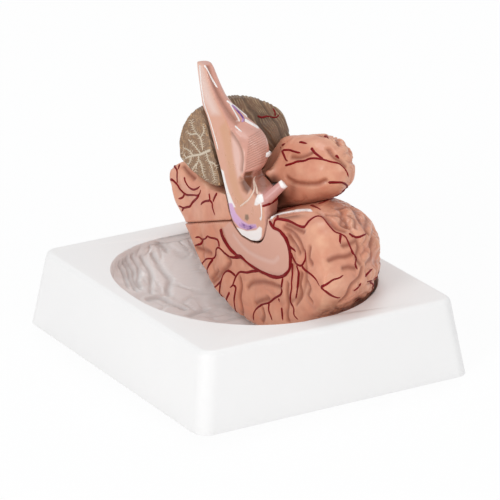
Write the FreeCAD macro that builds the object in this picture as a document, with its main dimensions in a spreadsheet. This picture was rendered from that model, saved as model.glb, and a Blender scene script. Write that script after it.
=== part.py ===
import FreeCAD, Part
import math
import os
import Sketcher

V = FreeCAD.Vector
doc = FreeCAD.newDocument("brain_on_tray")

# Driving dimensions in millimetres and degrees.
# The frame: +Z up, origin in the middle of the tray's underside.
# The right half of the brain lies upside down: +X is its outer side, X = 0 its flat midline face,
# -Y its forehead, +Y the back of the head, the crown down in the hollow, the stem up.
sizes = {
    "tray_foot_x": 181.0,
    "tray_foot_y": 206.7,
    "tray_draft": 8.7,
    "tray_height": 46.2,
    "tray_wall": 3.0,
    "tray_corner_radius": 9.0,
    "tray_edge_radius": 3.5,
    "hollow_side_room": 1.2,
    "hollow_front_inset": 4.3,
    "hollow_back": 77.0,
    "hollow_room": 1.2,
    "hollow_flare": 2.0,
    "hollow_fold_depth": 2.0,
    "brain_half_width": 72.0,
    "brain_front": 87.3,
    "brain_back": 90.1,
    "fold_depth": 3.2,
    "seam_level": 79.4,
    "seam_fall_back": 0.35,
    "seam_rise_out": 0.10,
    "seam_gap": 0.5,
    "seam_edge_depth": 3.4,
    "seam_edge_width": 4.2,
    "piece_gap": 0.65,
    "seam_peg_diameter": 6.0,
    "seam_peg_length": 22.0,
    "stem_peg_diameter": 4.0,
    "stem_peg_length": 16.0,
    "cerebellum_peg_length": 20.0,
    "peg_slip": 0.06,
    "peg_end_room": 1.0,
    "optic_nerve_root_radius": 3.6,
    "optic_nerve_tip_radius": 2.8,
    "optic_nerve_length": 19.0,
    "optic_nerve_x": 2.0,
    "optic_nerve_y": -13.5,
    "optic_nerve_z": 92.5,
    "cerebellum_half_width": 54.5,
    "cerebellum_draw_angle": 20.0,
    "seam_peg_rear_x": 40.0,
    "seam_peg_rear_y": 48.0,
    "seam_peg_front_x": 46.0,
    "seam_peg_front_y": 0.0,
    "stem_peg_rear_x": 18.5,
    "stem_peg_rear_y": 10.0,
    "stem_peg_rear_z": 83.5,
    "stem_peg_front_x": 18.3,
    "stem_peg_front_y": 1.8,
    "stem_peg_front_z": 96.0,
    "cerebellum_peg_inner_x": 5.0,
    "cerebellum_peg_inner_y": 33.0,
    "cerebellum_peg_inner_z": 104.0,
    "cerebellum_peg_outer_x": 12.0,
    "cerebellum_peg_outer_y": 33.0,
    "cerebellum_peg_outer_z": 106.5,
}

sheet = doc.addObject("Spreadsheet::Sheet", "sizes")
row = 1
for name, value in sizes.items():
    sheet.set("A%d" % row, name)
    sheet.set("B%d" % row, str(value))
    sheet.setAlias("B%d" % row, name)
    row += 1
doc.recompute()


def size(name):
    return float(getattr(sheet, name))


def point(name):
    return V(size(name + "_x"), size(name + "_y"), size(name + "_z"))


def along(table, at):
    """Straight reading between the pairs of a profile table."""
    if at <= table[0][0]:
        return table[0][1]
    for (a, va), (b, vb) in zip(table, table[1:]):
        if at <= b:
            return va + (vb - va) * (at - a) / (b - a)
    return table[-1][1]


def superellipse(angle, power):
    c = math.cos(angle)
    s = math.sin(angle)
    x = math.copysign(abs(c) ** (2.0 / power), c)
    z = math.copysign(abs(s) ** (2.0 / power), s)
    return x, z


def skin(rings):
    """Closed solid with a smooth skin drawn through rings of control points."""
    around = len(rings[0])
    rows = len(rings)
    poles = [[ring[i] for ring in rings] for i in range(around)]
    surface = Part.BSplineSurface()
    surface.buildFromPolesMultsKnots(
        poles,
        [1] * (around + 1),
        [4] + [1] * (rows - 4) + [4],
        list(range(around + 1)),
        list(range(rows - 2)),
        True, False, 3, 3)
    side = surface.toShape()
    faces = [side]
    for edge in side.Edges:
        if edge.isClosed():
            faces.append(Part.Face(Part.Wire([edge])))
    joined = Part.Compound(faces)
    joined.sewShape(1e-4)
    solid = Part.Solid(joined.Shells[0])
    if solid.Volume < 0:
        solid.reverse()
    return solid


def stations(first, last, count, ease):
    """Stations from end to end, closer together near both ends."""
    out = []
    for i in range(count):
        t = i / (count - 1.0)
        eased = 0.5 - 0.5 * math.cos(math.pi * t)
        out.append(first + (last - first) * (ease * eased + (1.0 - ease) * t))
    return out


def groove(point, paths, width):
    """Depth share 0..1 of the nearest fold line at a point of a flat map."""
    best = 0.0
    for path in paths:
        for (ax, ay), (bx, by) in zip(path, path[1:]):
            dx = bx - ax
            dy = by - ay
            run = dx * dx + dy * dy
            k = ((point[0] - ax) * dx + (point[1] - ay) * dy) / run
            k = min(1.0, max(0.0, k))
            gap = math.hypot(point[0] - ax - k * dx, point[1] - ay - k * dy)
            if gap < 3.0 * width:
                best = max(best, math.exp(-(gap / width) ** 2))
    return best


# Base tray: drafted block with round corners, hollow below.
def drafted_body(name, foot_x, foot_y, height, draft):
    body = doc.addObject("PartDesign::Body", name)
    plane = [f for f in body.Origin.OriginFeatures if f.Role == "XY_Plane"][0]
    sketch = body.newObject("Sketcher::SketchObject", name + "_foot")
    sketch.AttachmentSupport = (plane, [""])
    sketch.MapMode = "FlatFace"
    corners = [V(-50, -60, 0), V(50, -60, 0), V(50, 60, 0), V(-50, 60, 0)]
    for i in range(4):
        sketch.addGeometry(Part.LineSegment(corners[i], corners[(i + 1) % 4]), False)
    for i in range(4):
        sketch.addConstraint(Sketcher.Constraint("Coincident", i, 2, (i + 1) % 4, 1))
    for i in (0, 2):
        sketch.addConstraint(Sketcher.Constraint("Horizontal", i))
    for i in (1, 3):
        sketch.addConstraint(Sketcher.Constraint("Vertical", i))
    sketch.addConstraint(Sketcher.Constraint("Symmetric", 0, 1, 1, 2, -1, 1))
    wide = sketch.addConstraint(Sketcher.Constraint("Distance", 0, 100.0))
    deep = sketch.addConstraint(Sketcher.Constraint("Distance", 1, 120.0))
    sketch.setExpression("Constraints[%d]" % wide, foot_x)
    sketch.setExpression("Constraints[%d]" % deep, foot_y)
    doc.recompute()
    pad = body.newObject("PartDesign::Pad", name + "_block")
    pad.Profile = sketch
    pad.setExpression("Length", height)
    pad.setExpression("TaperAngle", draft)
    doc.recompute()
    return body, pad


def round_edges(body, base, name, radius, wanted):
    names = []
    for i, edge in enumerate(base.Shape.Edges):
        if wanted(edge):
            names.append("Edge%d" % (i + 1))
    fillet = body.newObject("PartDesign::Fillet", name)
    fillet.Base = (base, names)
    fillet.setExpression("Radius", radius)
    doc.recompute()
    return fillet


def upright(edge):
    return edge.BoundBox.ZLength > 10.0


def at_top(edge):
    return edge.BoundBox.ZMin > size("tray_height") - 0.5


outer_body, outer_block = drafted_body(
    "tray_outside", "sizes.tray_foot_x", "sizes.tray_foot_y", "sizes.tray_height", "-sizes.tray_draft")
outer_block = round_edges(outer_body, outer_block, "tray_corners", "sizes.tray_corner_radius", upright)
outer_block = round_edges(outer_body, outer_block, "tray_top_edge", "sizes.tray_edge_radius", at_top)

void_body, void_block = drafted_body(
    "tray_underside", "sizes.tray_foot_x - 2 * sizes.tray_wall", "sizes.tray_foot_y - 2 * sizes.tray_wall",
    "sizes.tray_height - sizes.tray_wall", "-sizes.tray_draft")
void_block = round_edges(
    void_body, void_block, "underside_corners", "sizes.tray_corner_radius - sizes.tray_wall", upright)

# Lower edge of the brain's midline outline: pairs of Y and Z.
crown_line = [
    (-87.3, 66.0), (-85.0, 60.0), (-80.0, 51.0), (-72.0, 42.0), (-54.0, 27.0), (-40.0, 20.0),
    (-27.0, 15.8), (-10.0, 13.6), (5.0, 13.1), (15.0, 13.9), (25.0, 15.4), (40.0, 20.0),
    (57.0, 33.0), (68.0, 47.0), (77.0, 55.5), (84.0, 62.5), (88.0, 70.0), (90.1, 77.0)]

# Upper edge of the same outline, as it would be without the lower lobes.
base_line = [
    (-87.3, 72.0), (-84.5, 77.0), (-80.0, 84.0), (-74.0, 91.0), (-64.0, 96.0), (-50.0, 97.5),
    (-36.0, 97.0), (-22.0, 96.0), (20.0, 96.0), (46.0, 96.0), (90.1, 96.0)]

# Depth of the hollow by Y: pairs of Y and Z of its floor.
floor_line = [
    (-83.0, 43.0), (-80.0, 38.0), (-74.0, 31.5), (-64.0, 24.5), (-50.0, 19.0), (-30.0, 14.8),
    (-10.0, 12.9), (5.0, 12.7), (20.0, 13.4), (36.0, 16.5), (50.0, 21.5), (62.0, 28.0), (70.0, 34.5),
    (77.0, 44.0)]


def hollow_half_width():
    return size("brain_half_width") + size("hollow_side_room")


def hollow_front():
    return size("brain_front") - size("hollow_front_inset")


def plan_width(y, front, back, half_width, power):
    middle = 0.5 * (back - front)
    reach = 0.5 * (back + front)
    v = min(1.0, abs((y - middle) / reach))
    return half_width * (1.0 - v ** power) ** (1.0 / power)


# Fold lines of the hollow, as pairs of Y and 0.8 times a turn in degrees,
# from the rim (0) to the floor (90).
hollow_folds = [
    [(-66, 14), (-58, 34), (-64, 62)],
    [(-52, 6), (-48, 30), (-40, 50), (-46, 72)],
    [(-34, 8), (-28, 30), (-32, 52), (-24, 72)],
    [(-16, 6), (-10, 28), (-6, 50), (-10, 72)],
    [(2, 6), (6, 30), (14, 50), (10, 72)],
    [(18, 8), (22, 26), (28, 44), (24, 66)],
    [(33, 6), (34, 22), (40, 40), (38, 60)],
    [(44, 5), (45, 20), (50, 34), (52, 52)],
    [(54, 6), (54, 20), (59, 34), (62, 48)],
    [(62, 8), (63, 22), (68, 34)],
    [(69, 14), (70, 30)],
]


def hollow_solid(grow, name):
    """Whole-brain hollow, open upward past the tray's top; grow gives its outer wall."""
    top = size("tray_height")
    front = hollow_front() + grow
    back = size("hollow_back") + grow
    rings = []
    lower = 36
    for y in stations(-front + 0.6, back - 0.6, 46, 0.75):
        inner_y = min(size("hollow_back") - 0.2, max(0.2 - hollow_front(), y))
        middle = 0.5 * (back - front)
        wide = plan_width(y, front, back, hollow_half_width() + grow, 2.0 if y < middle else 2.5)
        wide = max(wide, 5.0)
        floor = along(floor_line, inner_y) - size("hollow_room") - grow
        drop = top - 2.5 - floor
        ring = []
        for i in range(lower + 1):
            turn = math.pi * i / lower
            c, s = superellipse(turn, 2.9)
            deg = 90.0 - abs(90.0 - math.degrees(turn))
            fold = groove((y, deg * 0.8), hollow_folds, 2.6) * size("hollow_fold_depth")
            fold *= min(1.0, max(0.0, (deg - 6.0) / 14.0))
            ring.append(V(-(wide - fold * abs(c)) * c, y, top - 2.5 - (drop - fold * s) * s))
        flare = size("hollow_flare") if grow == 0 else 0.0
        ring.append(V(wide + flare * 0.4, y, top - 0.6))
        ring.append(V(wide + flare, y, top + 1.0))
        ring.append(V(wide + flare, y, top + 10.0))
        for k in (0.6, 0.2, -0.2, -0.6):
            ring.append(V((wide + flare) * k, y, top + 14.0))
        ring.append(V(-wide - flare, y, top + 10.0))
        ring.append(V(-wide - flare, y, top + 1.0))
        ring.append(V(-wide - flare * 0.4, y, top - 0.6))
        rings.append(ring)
    feature = doc.addObject("Part::Feature", name)
    feature.Shape = skin(rings)
    return feature


bowl = hollow_solid(0.0, "tray_hollow")
bowl_wall = hollow_solid(size("tray_wall"), "tray_hollow_wall")


def boolean(kind, name, first, second):
    item = doc.addObject("Part::" + kind, name)
    item.Base = first
    item.Tool = second
    doc.recompute()
    return item


tray_underside = boolean("Cut", "tray_underside_room", void_body, bowl_wall)
tray_solid = boolean("Cut", "tray_without_hollow", outer_body, tray_underside)
base_tray = boolean("Cut", "base_tray", tray_solid, bowl)

# Seam between the upper and the lower cast piece: a plane falling to the back and rising outward.
seam_normal = V(-size("seam_rise_out"), size("seam_fall_back"), 1.0)
seam_normal.normalize()


def seam_z(x, y):
    return size("seam_level") - size("seam_fall_back") * y + size("seam_rise_out") * x


def seam_edge(x, y, z, side):
    """How far the outer side is drawn in beside the seam, which rounds the edges of both pieces."""
    gap = (z - seam_z(x, y)) * seam_normal.z
    away = min(1.0, max(0.0, (x - 16.0) / 12.0))
    return size("seam_edge_depth") * math.exp(-(gap / size("seam_edge_width")) ** 2) * away * max(0.0, side)


def slab(name, above, gap):
    """Half space above or below the seam, moved off it by the gap."""
    block = doc.addObject("Part::Box", name)
    block.Length = 320.0
    block.Width = 320.0
    block.Height = 200.0
    turn = FreeCAD.Rotation(V(0, 0, 1), seam_normal)
    low = V(-160.0, -160.0, 0.0 if above else -200.0)
    at = V(0, 0, size("seam_level")) + seam_normal * (gap if above else -gap)
    block.Placement = FreeCAD.Placement(at, turn).multiply(FreeCAD.Placement(low, FreeCAD.Rotation()))
    return block


# Fold lines on the midline face, pairs of Y and Z.
midline_folds = [
    [(30, 62), (21, 54), (8, 50), (-10, 49.5), (-24, 50.5), (-40, 54), (-50, 60), (-53.5, 69), (-52, 78),
     (-45, 85)],
    [(40, 38), (34, 46), (22, 42), (6, 38), (-12, 37), (-30, 39), (-48, 44), (-62, 53), (-67, 66),
     (-63, 80)],
    [(40, 38), (33, 27), (30, 19)],
    [(-6, 37), (-10, 27), (-14, 18)],
    [(-36, 40), (-44, 31), (-50, 27)],
    [(-62, 53), (-70, 48)],
    [(58, 58), (52, 47), (50, 36), (48, 27)],
]

# Fold lines on the outer side, pairs of Y and a turn in degrees (0 outward, -90 to the crown).
outer_folds = [
    [(-8, 2), (-2, -20), (4, -44), (2, -68), (8, -92)],
    [(-25, 2), (-20, -22), (-15, -44), (-18, -68), (-11, -92)],
    [(10, 0), (16, -22), (22, -44), (21, -66), (28, -92)],
    [(-24, -26), (-38, -22), (-50, -27), (-62, -20), (-74, -26)],
    [(-18, -50), (-32, -48), (-46, -53), (-60, -46), (-72, -50)],
    [(-17, -74), (-32, -78), (-46, -74), (-60, -78)],
    [(-26, 0), (-40, -4), (-54, 2), (-66, -4), (-78, 0)],
    [(-44, -22), (-46, -36), (-45, -53)],
    [(-60, -20), (-62, -8), (-59, 0)],
    [(-34, -48), (-36, -62), (-32, -78)],
    [(-60, -46), (-62, -60), (-60, -78)],
    [(18, -30), (34, -26), (50, -32), (66, -24), (80, -30)],
    [(23, -54), (40, -50), (54, -58), (68, -50)],
    [(26, -76), (42, -72), (56, -80)],
    [(26, -4), (40, -10), (54, -4), (68, -10), (80, -4)],
    [(34, -26), (37, -38), (40, -50)],
    [(52, -31), (56, -42), (54, -58)],
    [(42, -10), (44, -18), (42, -28)],
    [(66, -10), (70, -18), (68, -25)],
    [(-50, 22), (-60, 27), (-70, 22), (-80, 26)],
    [(-36, 42), (-50, 47), (-62, 43)],
    [(-54, 2), (-57, 13), (-60, 26)],
    [(-70, -2), (-74, 10), (-70, 22)],
    [(-46, 60), (-56, 66), (-66, 62)],
]


# How square the midline edge is by Y: pairs of Y and superellipse power.
inner_edge_power = [(-87.3, 2.2), (-70.0, 2.6), (-50.0, 3.2), (-30.0, 4.2), (-10.0, 5.5), (90.1, 5.5)]


def cerebrum_ring(y, count):
    wide = max(3.5, plan_width(y, size("brain_front"), size("brain_back"), size("brain_half_width"), 2.3))
    low = along(crown_line, y)
    high = along(base_line, y)
    core_x = 0.30 * wide
    core_z = low + 0.53 * (high - low)
    ring = []
    for i in range(count):
        turn = 2.0 * math.pi * i / count + 0.75 * math.pi
        outward = math.cos(turn) > 0.0
        inner_power = along(inner_edge_power, y)
        if math.sin(turn) < 0.0:
            inner_power *= 1.35
        c, s = superellipse(turn, 2.3 if outward else inner_power)
        x = core_x + (wide - core_x if outward else core_x) * c
        z = core_z + (high - core_z if s > 0.0 else core_z - low) * s
        near_end = min(1.0, min(y + size("brain_front"), size("brain_back") - y) / 8.0)
        if outward:
            depth = groove((y, math.degrees(math.atan2(z - core_z, x - core_x))), outer_folds, 3.6)
        else:
            depth = 0.0
        push = V(x - core_x, 0, z - core_z)
        if push.Length > 0:
            push.normalize()
        share = size("fold_depth") * depth * max(0.0, near_end)
        share = max(share, seam_edge(x, y, z, push.x))
        if not outward or x < 14.0:
            mid = groove((y, z), midline_folds, 2.6) * 0.55 * size("fold_depth")
            if not outward and c < -0.5:
                x += mid
        ring.append(V(x - push.x * share, y, z - push.z * share))
    return ring


cerebrum = doc.addObject("Part::Feature", "cerebrum_skin")
cerebrum.Shape = skin([
    cerebrum_ring(y, 84)
    for y in stations(-size("brain_front") + 0.5, size("brain_back") - 0.5, 54, 0.45)])

# Brain stem: front edge, back edge and half width by height.
stem_front = [
    (68.6, -6.0), (70.0, -13.0), (73.0, -18.0), (77.0, -20.5), (82.0, -22.0), (88.0, -22.0), (94.0, -20.5),
    (98.0, -16.0), (101.0, -6.0), (104.0, 3.0), (106.0, 3.5), (109.0, 1.0), (114.0, 1.2), (119.0, 2.0),
    (124.0, 5.5), (127.0, 10.5), (130.0, 17.0), (134.0, 21.5), (138.0, 26.0), (143.0, 33.0), (150.0, 39.0),
    (155.0, 42.5), (159.0, 45.0), (160.6, 47.5)]
stem_back = [
    (68.6, 5.0), (70.0, 9.0), (73.0, 14.5), (77.0, 18.0), (85.0, 21.0), (92.0, 24.5), (102.5, 29.5),
    (116.0, 37.0), (125.0, 42.0), (131.0, 45.5), (135.0, 50.0), (148.0, 53.6), (158.5, 56.2), (160.6, 56.0)]
stem_width = [
    (68.6, 5.0), (72.0, 12.5), (80.0, 18.5), (88.0, 20.5), (94.0, 20.5), (100.0, 18.0), (104.0, 17.5),
    (108.0, 20.0), (114.0, 23.5), (119.0, 24.5), (124.0, 24.0), (128.0, 21.5), (132.0, 18.0), (137.0, 13.5),
    (143.0, 10.5), (150.0, 9.0), (158.0, 7.6), (160.6, 6.8)]
stem_low = stem_front[0][0]
stem_high = stem_front[-1][0]

# Bulge of the pons ahead of the midline groove, by height.
pons_bulge = [
    (68.6, 0.0), (104.0, 0.0), (110.0, 3.0), (117.0, 4.5), (124.0, 4.0), (130.0, 1.0), (160.6, 0.0)]


def stem_ring(z, level, grow, inward, count):
    """One level of the stem; grow widens it, inward moves its flat side past the midline."""
    near = along(stem_front, z) - grow
    far = along(stem_back, z) + grow
    wide = along(stem_width, z) + grow
    bulge = along(pons_bulge, z)
    mid_y = 0.5 * (near + far)
    reach = 0.5 * (far - near)
    flat = 1.0
    ring = []
    half = count * 2 // 3
    for i in range(half + 1):
        turn = math.pi * i / half
        c, s = superellipse(turn, 2.4)
        y = mid_y - reach * c
        x = flat + (wide - flat) * s
        if z < 103.0 and y < 0.0:
            k = min(1.0, max(0.0, (y + 21.0) / 19.0))
            x = flat + (x - flat) * (0.46 + 0.54 * k * k * (3.0 - 2.0 * k)) + 0.3 * grow
        if c > 0.0:
            y -= bulge * math.sin(math.pi * min(1.0, s * 1.05)) * c ** 0.5
        ring.append(V(x, y, level))
    rest = count - half
    for i in range(rest + 1):
        k = i / float(rest)
        ring.append(V(-inward, mid_y + (reach - 0.6) * (1.0 - 2.0 * k), level))
    return ring


def stem_solid(name, grow, inward, count, levels):
    rings = []
    middle = 0.5 * (stem_low + stem_high)
    for z in stations(stem_low, stem_high, levels, 0.35):
        stretch = (z - middle) / (stem_high - middle)
        rings.append(stem_ring(z, z + grow * stretch, grow, inward, count))
    feature = doc.addObject("Part::Feature", name)
    feature.Shape = skin(rings)
    return feature


stem_skin = stem_solid("stem_skin", 0.0, 0.0, 36, 46)
stem_room = stem_solid("stem_room", size("piece_gap"), 12.0, 36, 46)

# Cerebellum half: rings by distance from the midline.
cerebellum_outline = [
    (76.6, 95.0), (77.5, 106.0), (72.5, 116.5), (65.0, 125.0), (56.0, 132.0), (51.0, 132.0), (45.0, 124.0),
    (39.0, 114.0), (33.5, 104.0), (29.5, 96.0), (28.5, 90.5), (38.0, 89.0), (50.0, 89.2), (64.0, 91.0)]
cerebellum_centre = (52.0, 110.0)


def outline_points(outline, count):
    """Evenly spaced points round a closed outline."""
    closed = outline + [outline[0]]
    steps = [math.hypot(b[0] - a[0], b[1] - a[1]) for a, b in zip(closed, closed[1:])]
    total = sum(steps)
    points = []
    for i in range(count):
        want = total * i / count
        for (a, b), step in zip(zip(closed, closed[1:]), steps):
            if want <= step:
                k = want / step
                points.append((a[0] + (b[0] - a[0]) * k, a[1] + (b[1] - a[1]) * k))
                break
            want -= step
    return points


def cerebellum_solid(name, grow, inward):
    rings = []
    count = 44
    base = outline_points(cerebellum_outline, count)
    cy, cz = cerebellum_centre
    edge_x = 0.0 if inward == 0 else -inward
    reach = size("cerebellum_half_width") + grow
    for x in [edge_x, edge_x + 0.25, edge_x + 0.9] + stations(3.0, reach - 0.4, 24, 0.5):
        at = max(0.0, x)
        k = (1.0 - min(1.0, at / reach) ** 2.5) ** (1.0 / 2.5)
        swell = math.sin(math.pi * min(1.0, at / 50.0)) * 5.2
        ring = []
        for y, z in base:
            dy = y - cy
            dz = z - cz
            reach_out = math.hypot(dy, dz)
            far = reach_out + swell * min(1.0, max(0.0, 0.5 + dz / 16.0)) + grow
            py = cy - 8.0 * (at / reach) ** 2 + dy / reach_out * far * k
            pz = cz + 5.5 * (at / reach) ** 2 + dz / reach_out * far * k
            if x == edge_x and inward == 0:
                py = cy + (py - cy) * 0.99
                pz = cz + (pz - cz) * 0.99
            ring.append(V(x, py, pz))
        rings.append(ring)
    feature = doc.addObject("Part::Feature", name)
    feature.Shape = skin(rings)
    return feature


cerebellum_skin = cerebellum_solid("cerebellum_skin", 0.0, 0.0)
cerebellum_room = cerebellum_solid("cerebellum_room", size("piece_gap"), 12.0)

# Lower lobes by Y: inner side, outer side as a share of the brain's half width, crest, top of the inner
# side, and underside along the seam.
lobe_inner = [
    (-37.5, 41.0), (-36.0, 36.5), (-32.0, 31.0), (-25.0, 27.0), (-16.0, 24.5), (-6.0, 23.5), (2.0, 21.5),
    (9.0, 11.0), (15.0, 0.0), (90.0, 0.0)]
lobe_outer = [
    (-37.5, 0.6389), (-36.0, 0.6944), (-32.0, 0.7639), (-25.0, 0.8264), (-16.0, 0.8889),
    (-5.0, 0.9375), (10.0, 0.9861), (25.0, 1.0069), (40.0, 0.9653), (55.0, 0.8542), (65.0, 0.7500),
    (75.0, 0.6042), (82.0, 0.4583), (87.0, 0.2917), (90.0, 0.1111)]
lobe_crest = [
    (-37.5, 112.0), (-36.0, 116.0), (-32.0, 120.5), (-25.0, 124.0), (-16.0, 126.5), (-5.0, 126.0),
    (10.0, 122.0),
    (25.0, 116.5), (40.0, 110.0), (55.0, 103.0), (65.0, 98.5), (75.0, 94.5), (82.0, 91.0), (87.0, 86.5),
    (90.0, 82.5)]
lobe_inner_top = [
    (-37.5, 111.0), (-25.0, 119.0), (-8.0, 118.0), (4.0, 111.0), (12.0, 96.0), (18.0, 87.3), (46.0, 87.3),
    (64.0, 89.8), (76.0, 91.5), (83.0, 89.8), (87.0, 86.0), (90.0, 82.0)]
lobe_foot = [
    (-37.5, 107.0), (-36.0, 103.0), (-32.0, 98.0), (-25.0, 92.0), (-16.0, 86.0), (-6.0, 79.0), (60.0, 40.0),
    (84.0, 62.0), (90.0, 77.0)]

# Where the roof starts and ends its climb from the inner side to the crest, by Y.
climb_start = [(-37.5, 20.0), (10.0, 20.0), (26.0, 22.0), (40.0, 28.0), (60.0, 12.0), (90.0, 0.0)]
climb_end = [(-37.5, 34.0), (10.0, 34.0), (26.0, 40.0), (40.0, 60.0), (60.0, 48.0), (90.0, 12.0)]


# Fold lines of the lower lobes, pairs of Y and turn in degrees (0 outward, 90 up).
lobe_folds = [
    [(-28, 18), (-14, 14), (2, 20), (20, 13), (38, 19), (54, 12), (70, 18)],
    [(-22, 40), (-6, 44), (8, 38), (24, 44), (40, 36), (58, 42), (74, 36)],
    [(-20, 66), (-4, 60), (10, 66), (26, 58), (44, 64), (62, 56), (76, 62)],
    [(2, 20), (4, 30), (8, 38)],
    [(38, 19), (42, 28), (40, 36)],
    [(24, 44), (22, 52), (26, 58)],
    [(58, 42), (56, 50), (60, 56)],
    [(-8, 84), (4, 80), (18, 86)],
]
calcarine_folds = [
    [(80, 76), (70, 73), (60, 69), (50, 70), (40, 74)],
    [(60, 69), (56, 62)],
]


def lobe_ring(y, count):
    inner = along(lobe_inner, y)
    outer = along(lobe_outer, y) * size("brain_half_width")
    crest = along(lobe_crest, y)
    inner_top = along(lobe_inner_top, y)
    foot = along(lobe_foot, y)
    core_x = 0.5 * (inner + outer)
    core_z = 0.5 * (foot + crest)
    ring = []
    for i in range(count):
        turn = 2.0 * math.pi * i / count + 0.75 * math.pi
        outward = math.cos(turn) > 0.0
        power = 2.4
        if not outward and y > 0.0:
            power = min(6.0, 2.4 + 0.25 * y)
        c, s = superellipse(turn, power)
        x = core_x + 0.5 * (outer - inner) * c
        if s > 0.0:
            start = along(climb_start, y)
            k = min(1.0, max(0.0, (x - start) / (along(climb_end, y) - start)))
            roof = inner_top + (crest - inner_top) * k * k * (3.0 - 2.0 * k)
            z = core_z + (roof - core_z) * s
        else:
            z = core_z + (core_z - foot) * s
        push = V(x - core_x, 0, z - core_z)
        if push.Length > 0:
            push.normalize()
        deg = math.degrees(math.atan2(z - core_z, x - core_x))
        share = 0.0
        if outward or y < 10.0:
            share = groove((y, deg), lobe_folds, 3.4) * size("fold_depth")
            share = max(share, seam_edge(x, y, z, push.x))
        elif c < -0.55:
            x += groove((y, z), calcarine_folds, 2.6) * 0.55 * size("fold_depth")
        ring.append(V(x - push.x * share, y, z - push.z * share))
    return ring


lobes = doc.addObject("Part::Feature", "lower_lobe_skin")
lobes.Shape = skin([lobe_ring(y, 72) for y in stations(-37.3, 89.6, 46, 0.45)])

lower_half = slab("below_seam", False, 0.5 * size("seam_gap"))
upper_half = slab("above_seam", True, 0.5 * size("seam_gap"))
doc.recompute()

frontal_blank = doc.addObject("Part::MultiCommon", "frontal_blank")
frontal_blank.Shapes = [cerebrum, lower_half]
doc.recompute()
frontal_open = boolean("Cut", "frontal_with_stem_room", frontal_blank, stem_room)

lobe_blank = doc.addObject("Part::MultiCommon", "lobe_blank")
lobe_blank.Shapes = [lobes, upper_half]
doc.recompute()
lobe_open = boolean("Cut", "lobe_with_stem_room", lobe_blank, stem_room)
lobe_cup = boolean("Cut", "lobe_with_cerebellum_room", lobe_open, cerebellum_room)

cerebellum_clear = boolean("Cut", "cerebellum_clear_of_stem", cerebellum_skin, stem_room)


# Pegs and their holes: a cylinder centred on a point, with a slip and an end room where it slides.
def rod(name, centre, direction, diameter, length, slip, room):
    bar = doc.addObject("Part::Cylinder", name)
    bar.setExpression("Radius", "%s / 2 + %s" % (diameter, slip))
    bar.setExpression("Height", "%s + 2 * %s" % (length, room))
    turn = FreeCAD.Rotation(V(0, 0, 1), direction)
    doc.recompute()
    shift = -0.5 * bar.Height.Value
    bar.Placement = FreeCAD.Placement(centre + direction * shift, turn)
    return bar


def peg(name, centre, direction, diameter, length):
    """The peg, its tight hole and its sliding hole."""
    solid = rod(name, centre, direction, diameter, length, "0", "0")
    tight = rod(name + "_tight_hole", centre, direction, diameter, length, "0", "0")
    loose = rod(
        name + "_sliding_hole", centre, direction, diameter, length, "sizes.peg_slip", "sizes.peg_end_room")
    return solid, tight, loose


def on_seam(name):
    x = size(name + "_x")
    y = size(name + "_y")
    return V(x, y, seam_z(x, y))


draw_angle = math.radians(size("cerebellum_draw_angle"))
draw_line = V(0, math.cos(draw_angle), math.sin(draw_angle))
outward = V(1, 0, 0)

pegs = {}
for name in ("seam_peg_rear", "seam_peg_front"):
    pegs[name] = peg(
        name, on_seam(name), seam_normal, "sizes.seam_peg_diameter", "sizes.seam_peg_length")
for name in ("stem_peg_rear", "stem_peg_front"):
    pegs[name] = peg(
        name, point(name), outward, "sizes.stem_peg_diameter", "sizes.stem_peg_length")
for name in ("cerebellum_peg_inner", "cerebellum_peg_outer"):
    pegs[name] = peg(
        name, point(name), draw_line, "sizes.stem_peg_diameter", "sizes.cerebellum_peg_length")


def drilled(name, blank, holes):
    item = blank
    for i, hole in enumerate(holes):
        item = boolean("Cut", "%s_%d" % (name, i), item, hole)
    return item


frontal_parietal_lobe = drilled(
    "frontal_parietal_drilled", frontal_open, [pegs["seam_peg_rear"][1], pegs["seam_peg_front"][1]])
temporal_occipital_lobe = drilled(
    "temporal_occipital_drilled", lobe_cup,
    [pegs["seam_peg_rear"][2], pegs["seam_peg_front"][2],
     pegs["stem_peg_rear"][2], pegs["stem_peg_front"][2]])

# Optic nerve stump: a short tapered stub rising outward from the front of the stem.
optic_line = V(11.0, -5.0, 11.0)
optic_line.normalize()
optic_nerve = doc.addObject("Part::Cone", "optic_nerve_stump")
optic_nerve.setExpression("Radius1", "sizes.optic_nerve_root_radius")
optic_nerve.setExpression("Radius2", "sizes.optic_nerve_tip_radius")
optic_nerve.setExpression("Height", "sizes.optic_nerve_length")
optic_nerve.Placement = FreeCAD.Placement(
    point("optic_nerve"), FreeCAD.Rotation(V(0, 0, 1), optic_line))
doc.recompute()
stem_whole = doc.addObject("Part::MultiFuse", "stem_with_optic_nerve")
stem_whole.Shapes = [stem_skin, optic_nerve]
doc.recompute()
brain_stem = drilled(
    "brain_stem_drilled", stem_whole,
    [pegs["stem_peg_rear"][1], pegs["stem_peg_front"][1],
     pegs["cerebellum_peg_inner"][1], pegs["cerebellum_peg_outer"][1]])
cerebellum = drilled(
    "cerebellum_drilled", cerebellum_clear,
    [pegs["cerebellum_peg_inner"][2], pegs["cerebellum_peg_outer"][2]])
doc.recompute()

results = {
    "base_tray": base_tray,
    "frontal_parietal_lobe": frontal_parietal_lobe,
    "temporal_occipital_lobe": temporal_occipital_lobe,
    "brain_stem": brain_stem,
    "cerebellum": cerebellum,
}
for name, made in pegs.items():
    results[name] = made[0]

for item in doc.Objects:
    if "Invalid" in item.State or "Error" in item.State:
        raise RuntimeError("%s is %s" % (item.Name, item.State))
os.makedirs("parts", exist_ok=True)
for name, item in results.items():
    if item.Shape.isNull() or not item.Shape.isValid():
        raise RuntimeError("%s has no valid shape" % name)
    item.Label = name
    item.Shape.exportStep("parts/%s.step" % name)
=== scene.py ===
import math
import random

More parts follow.
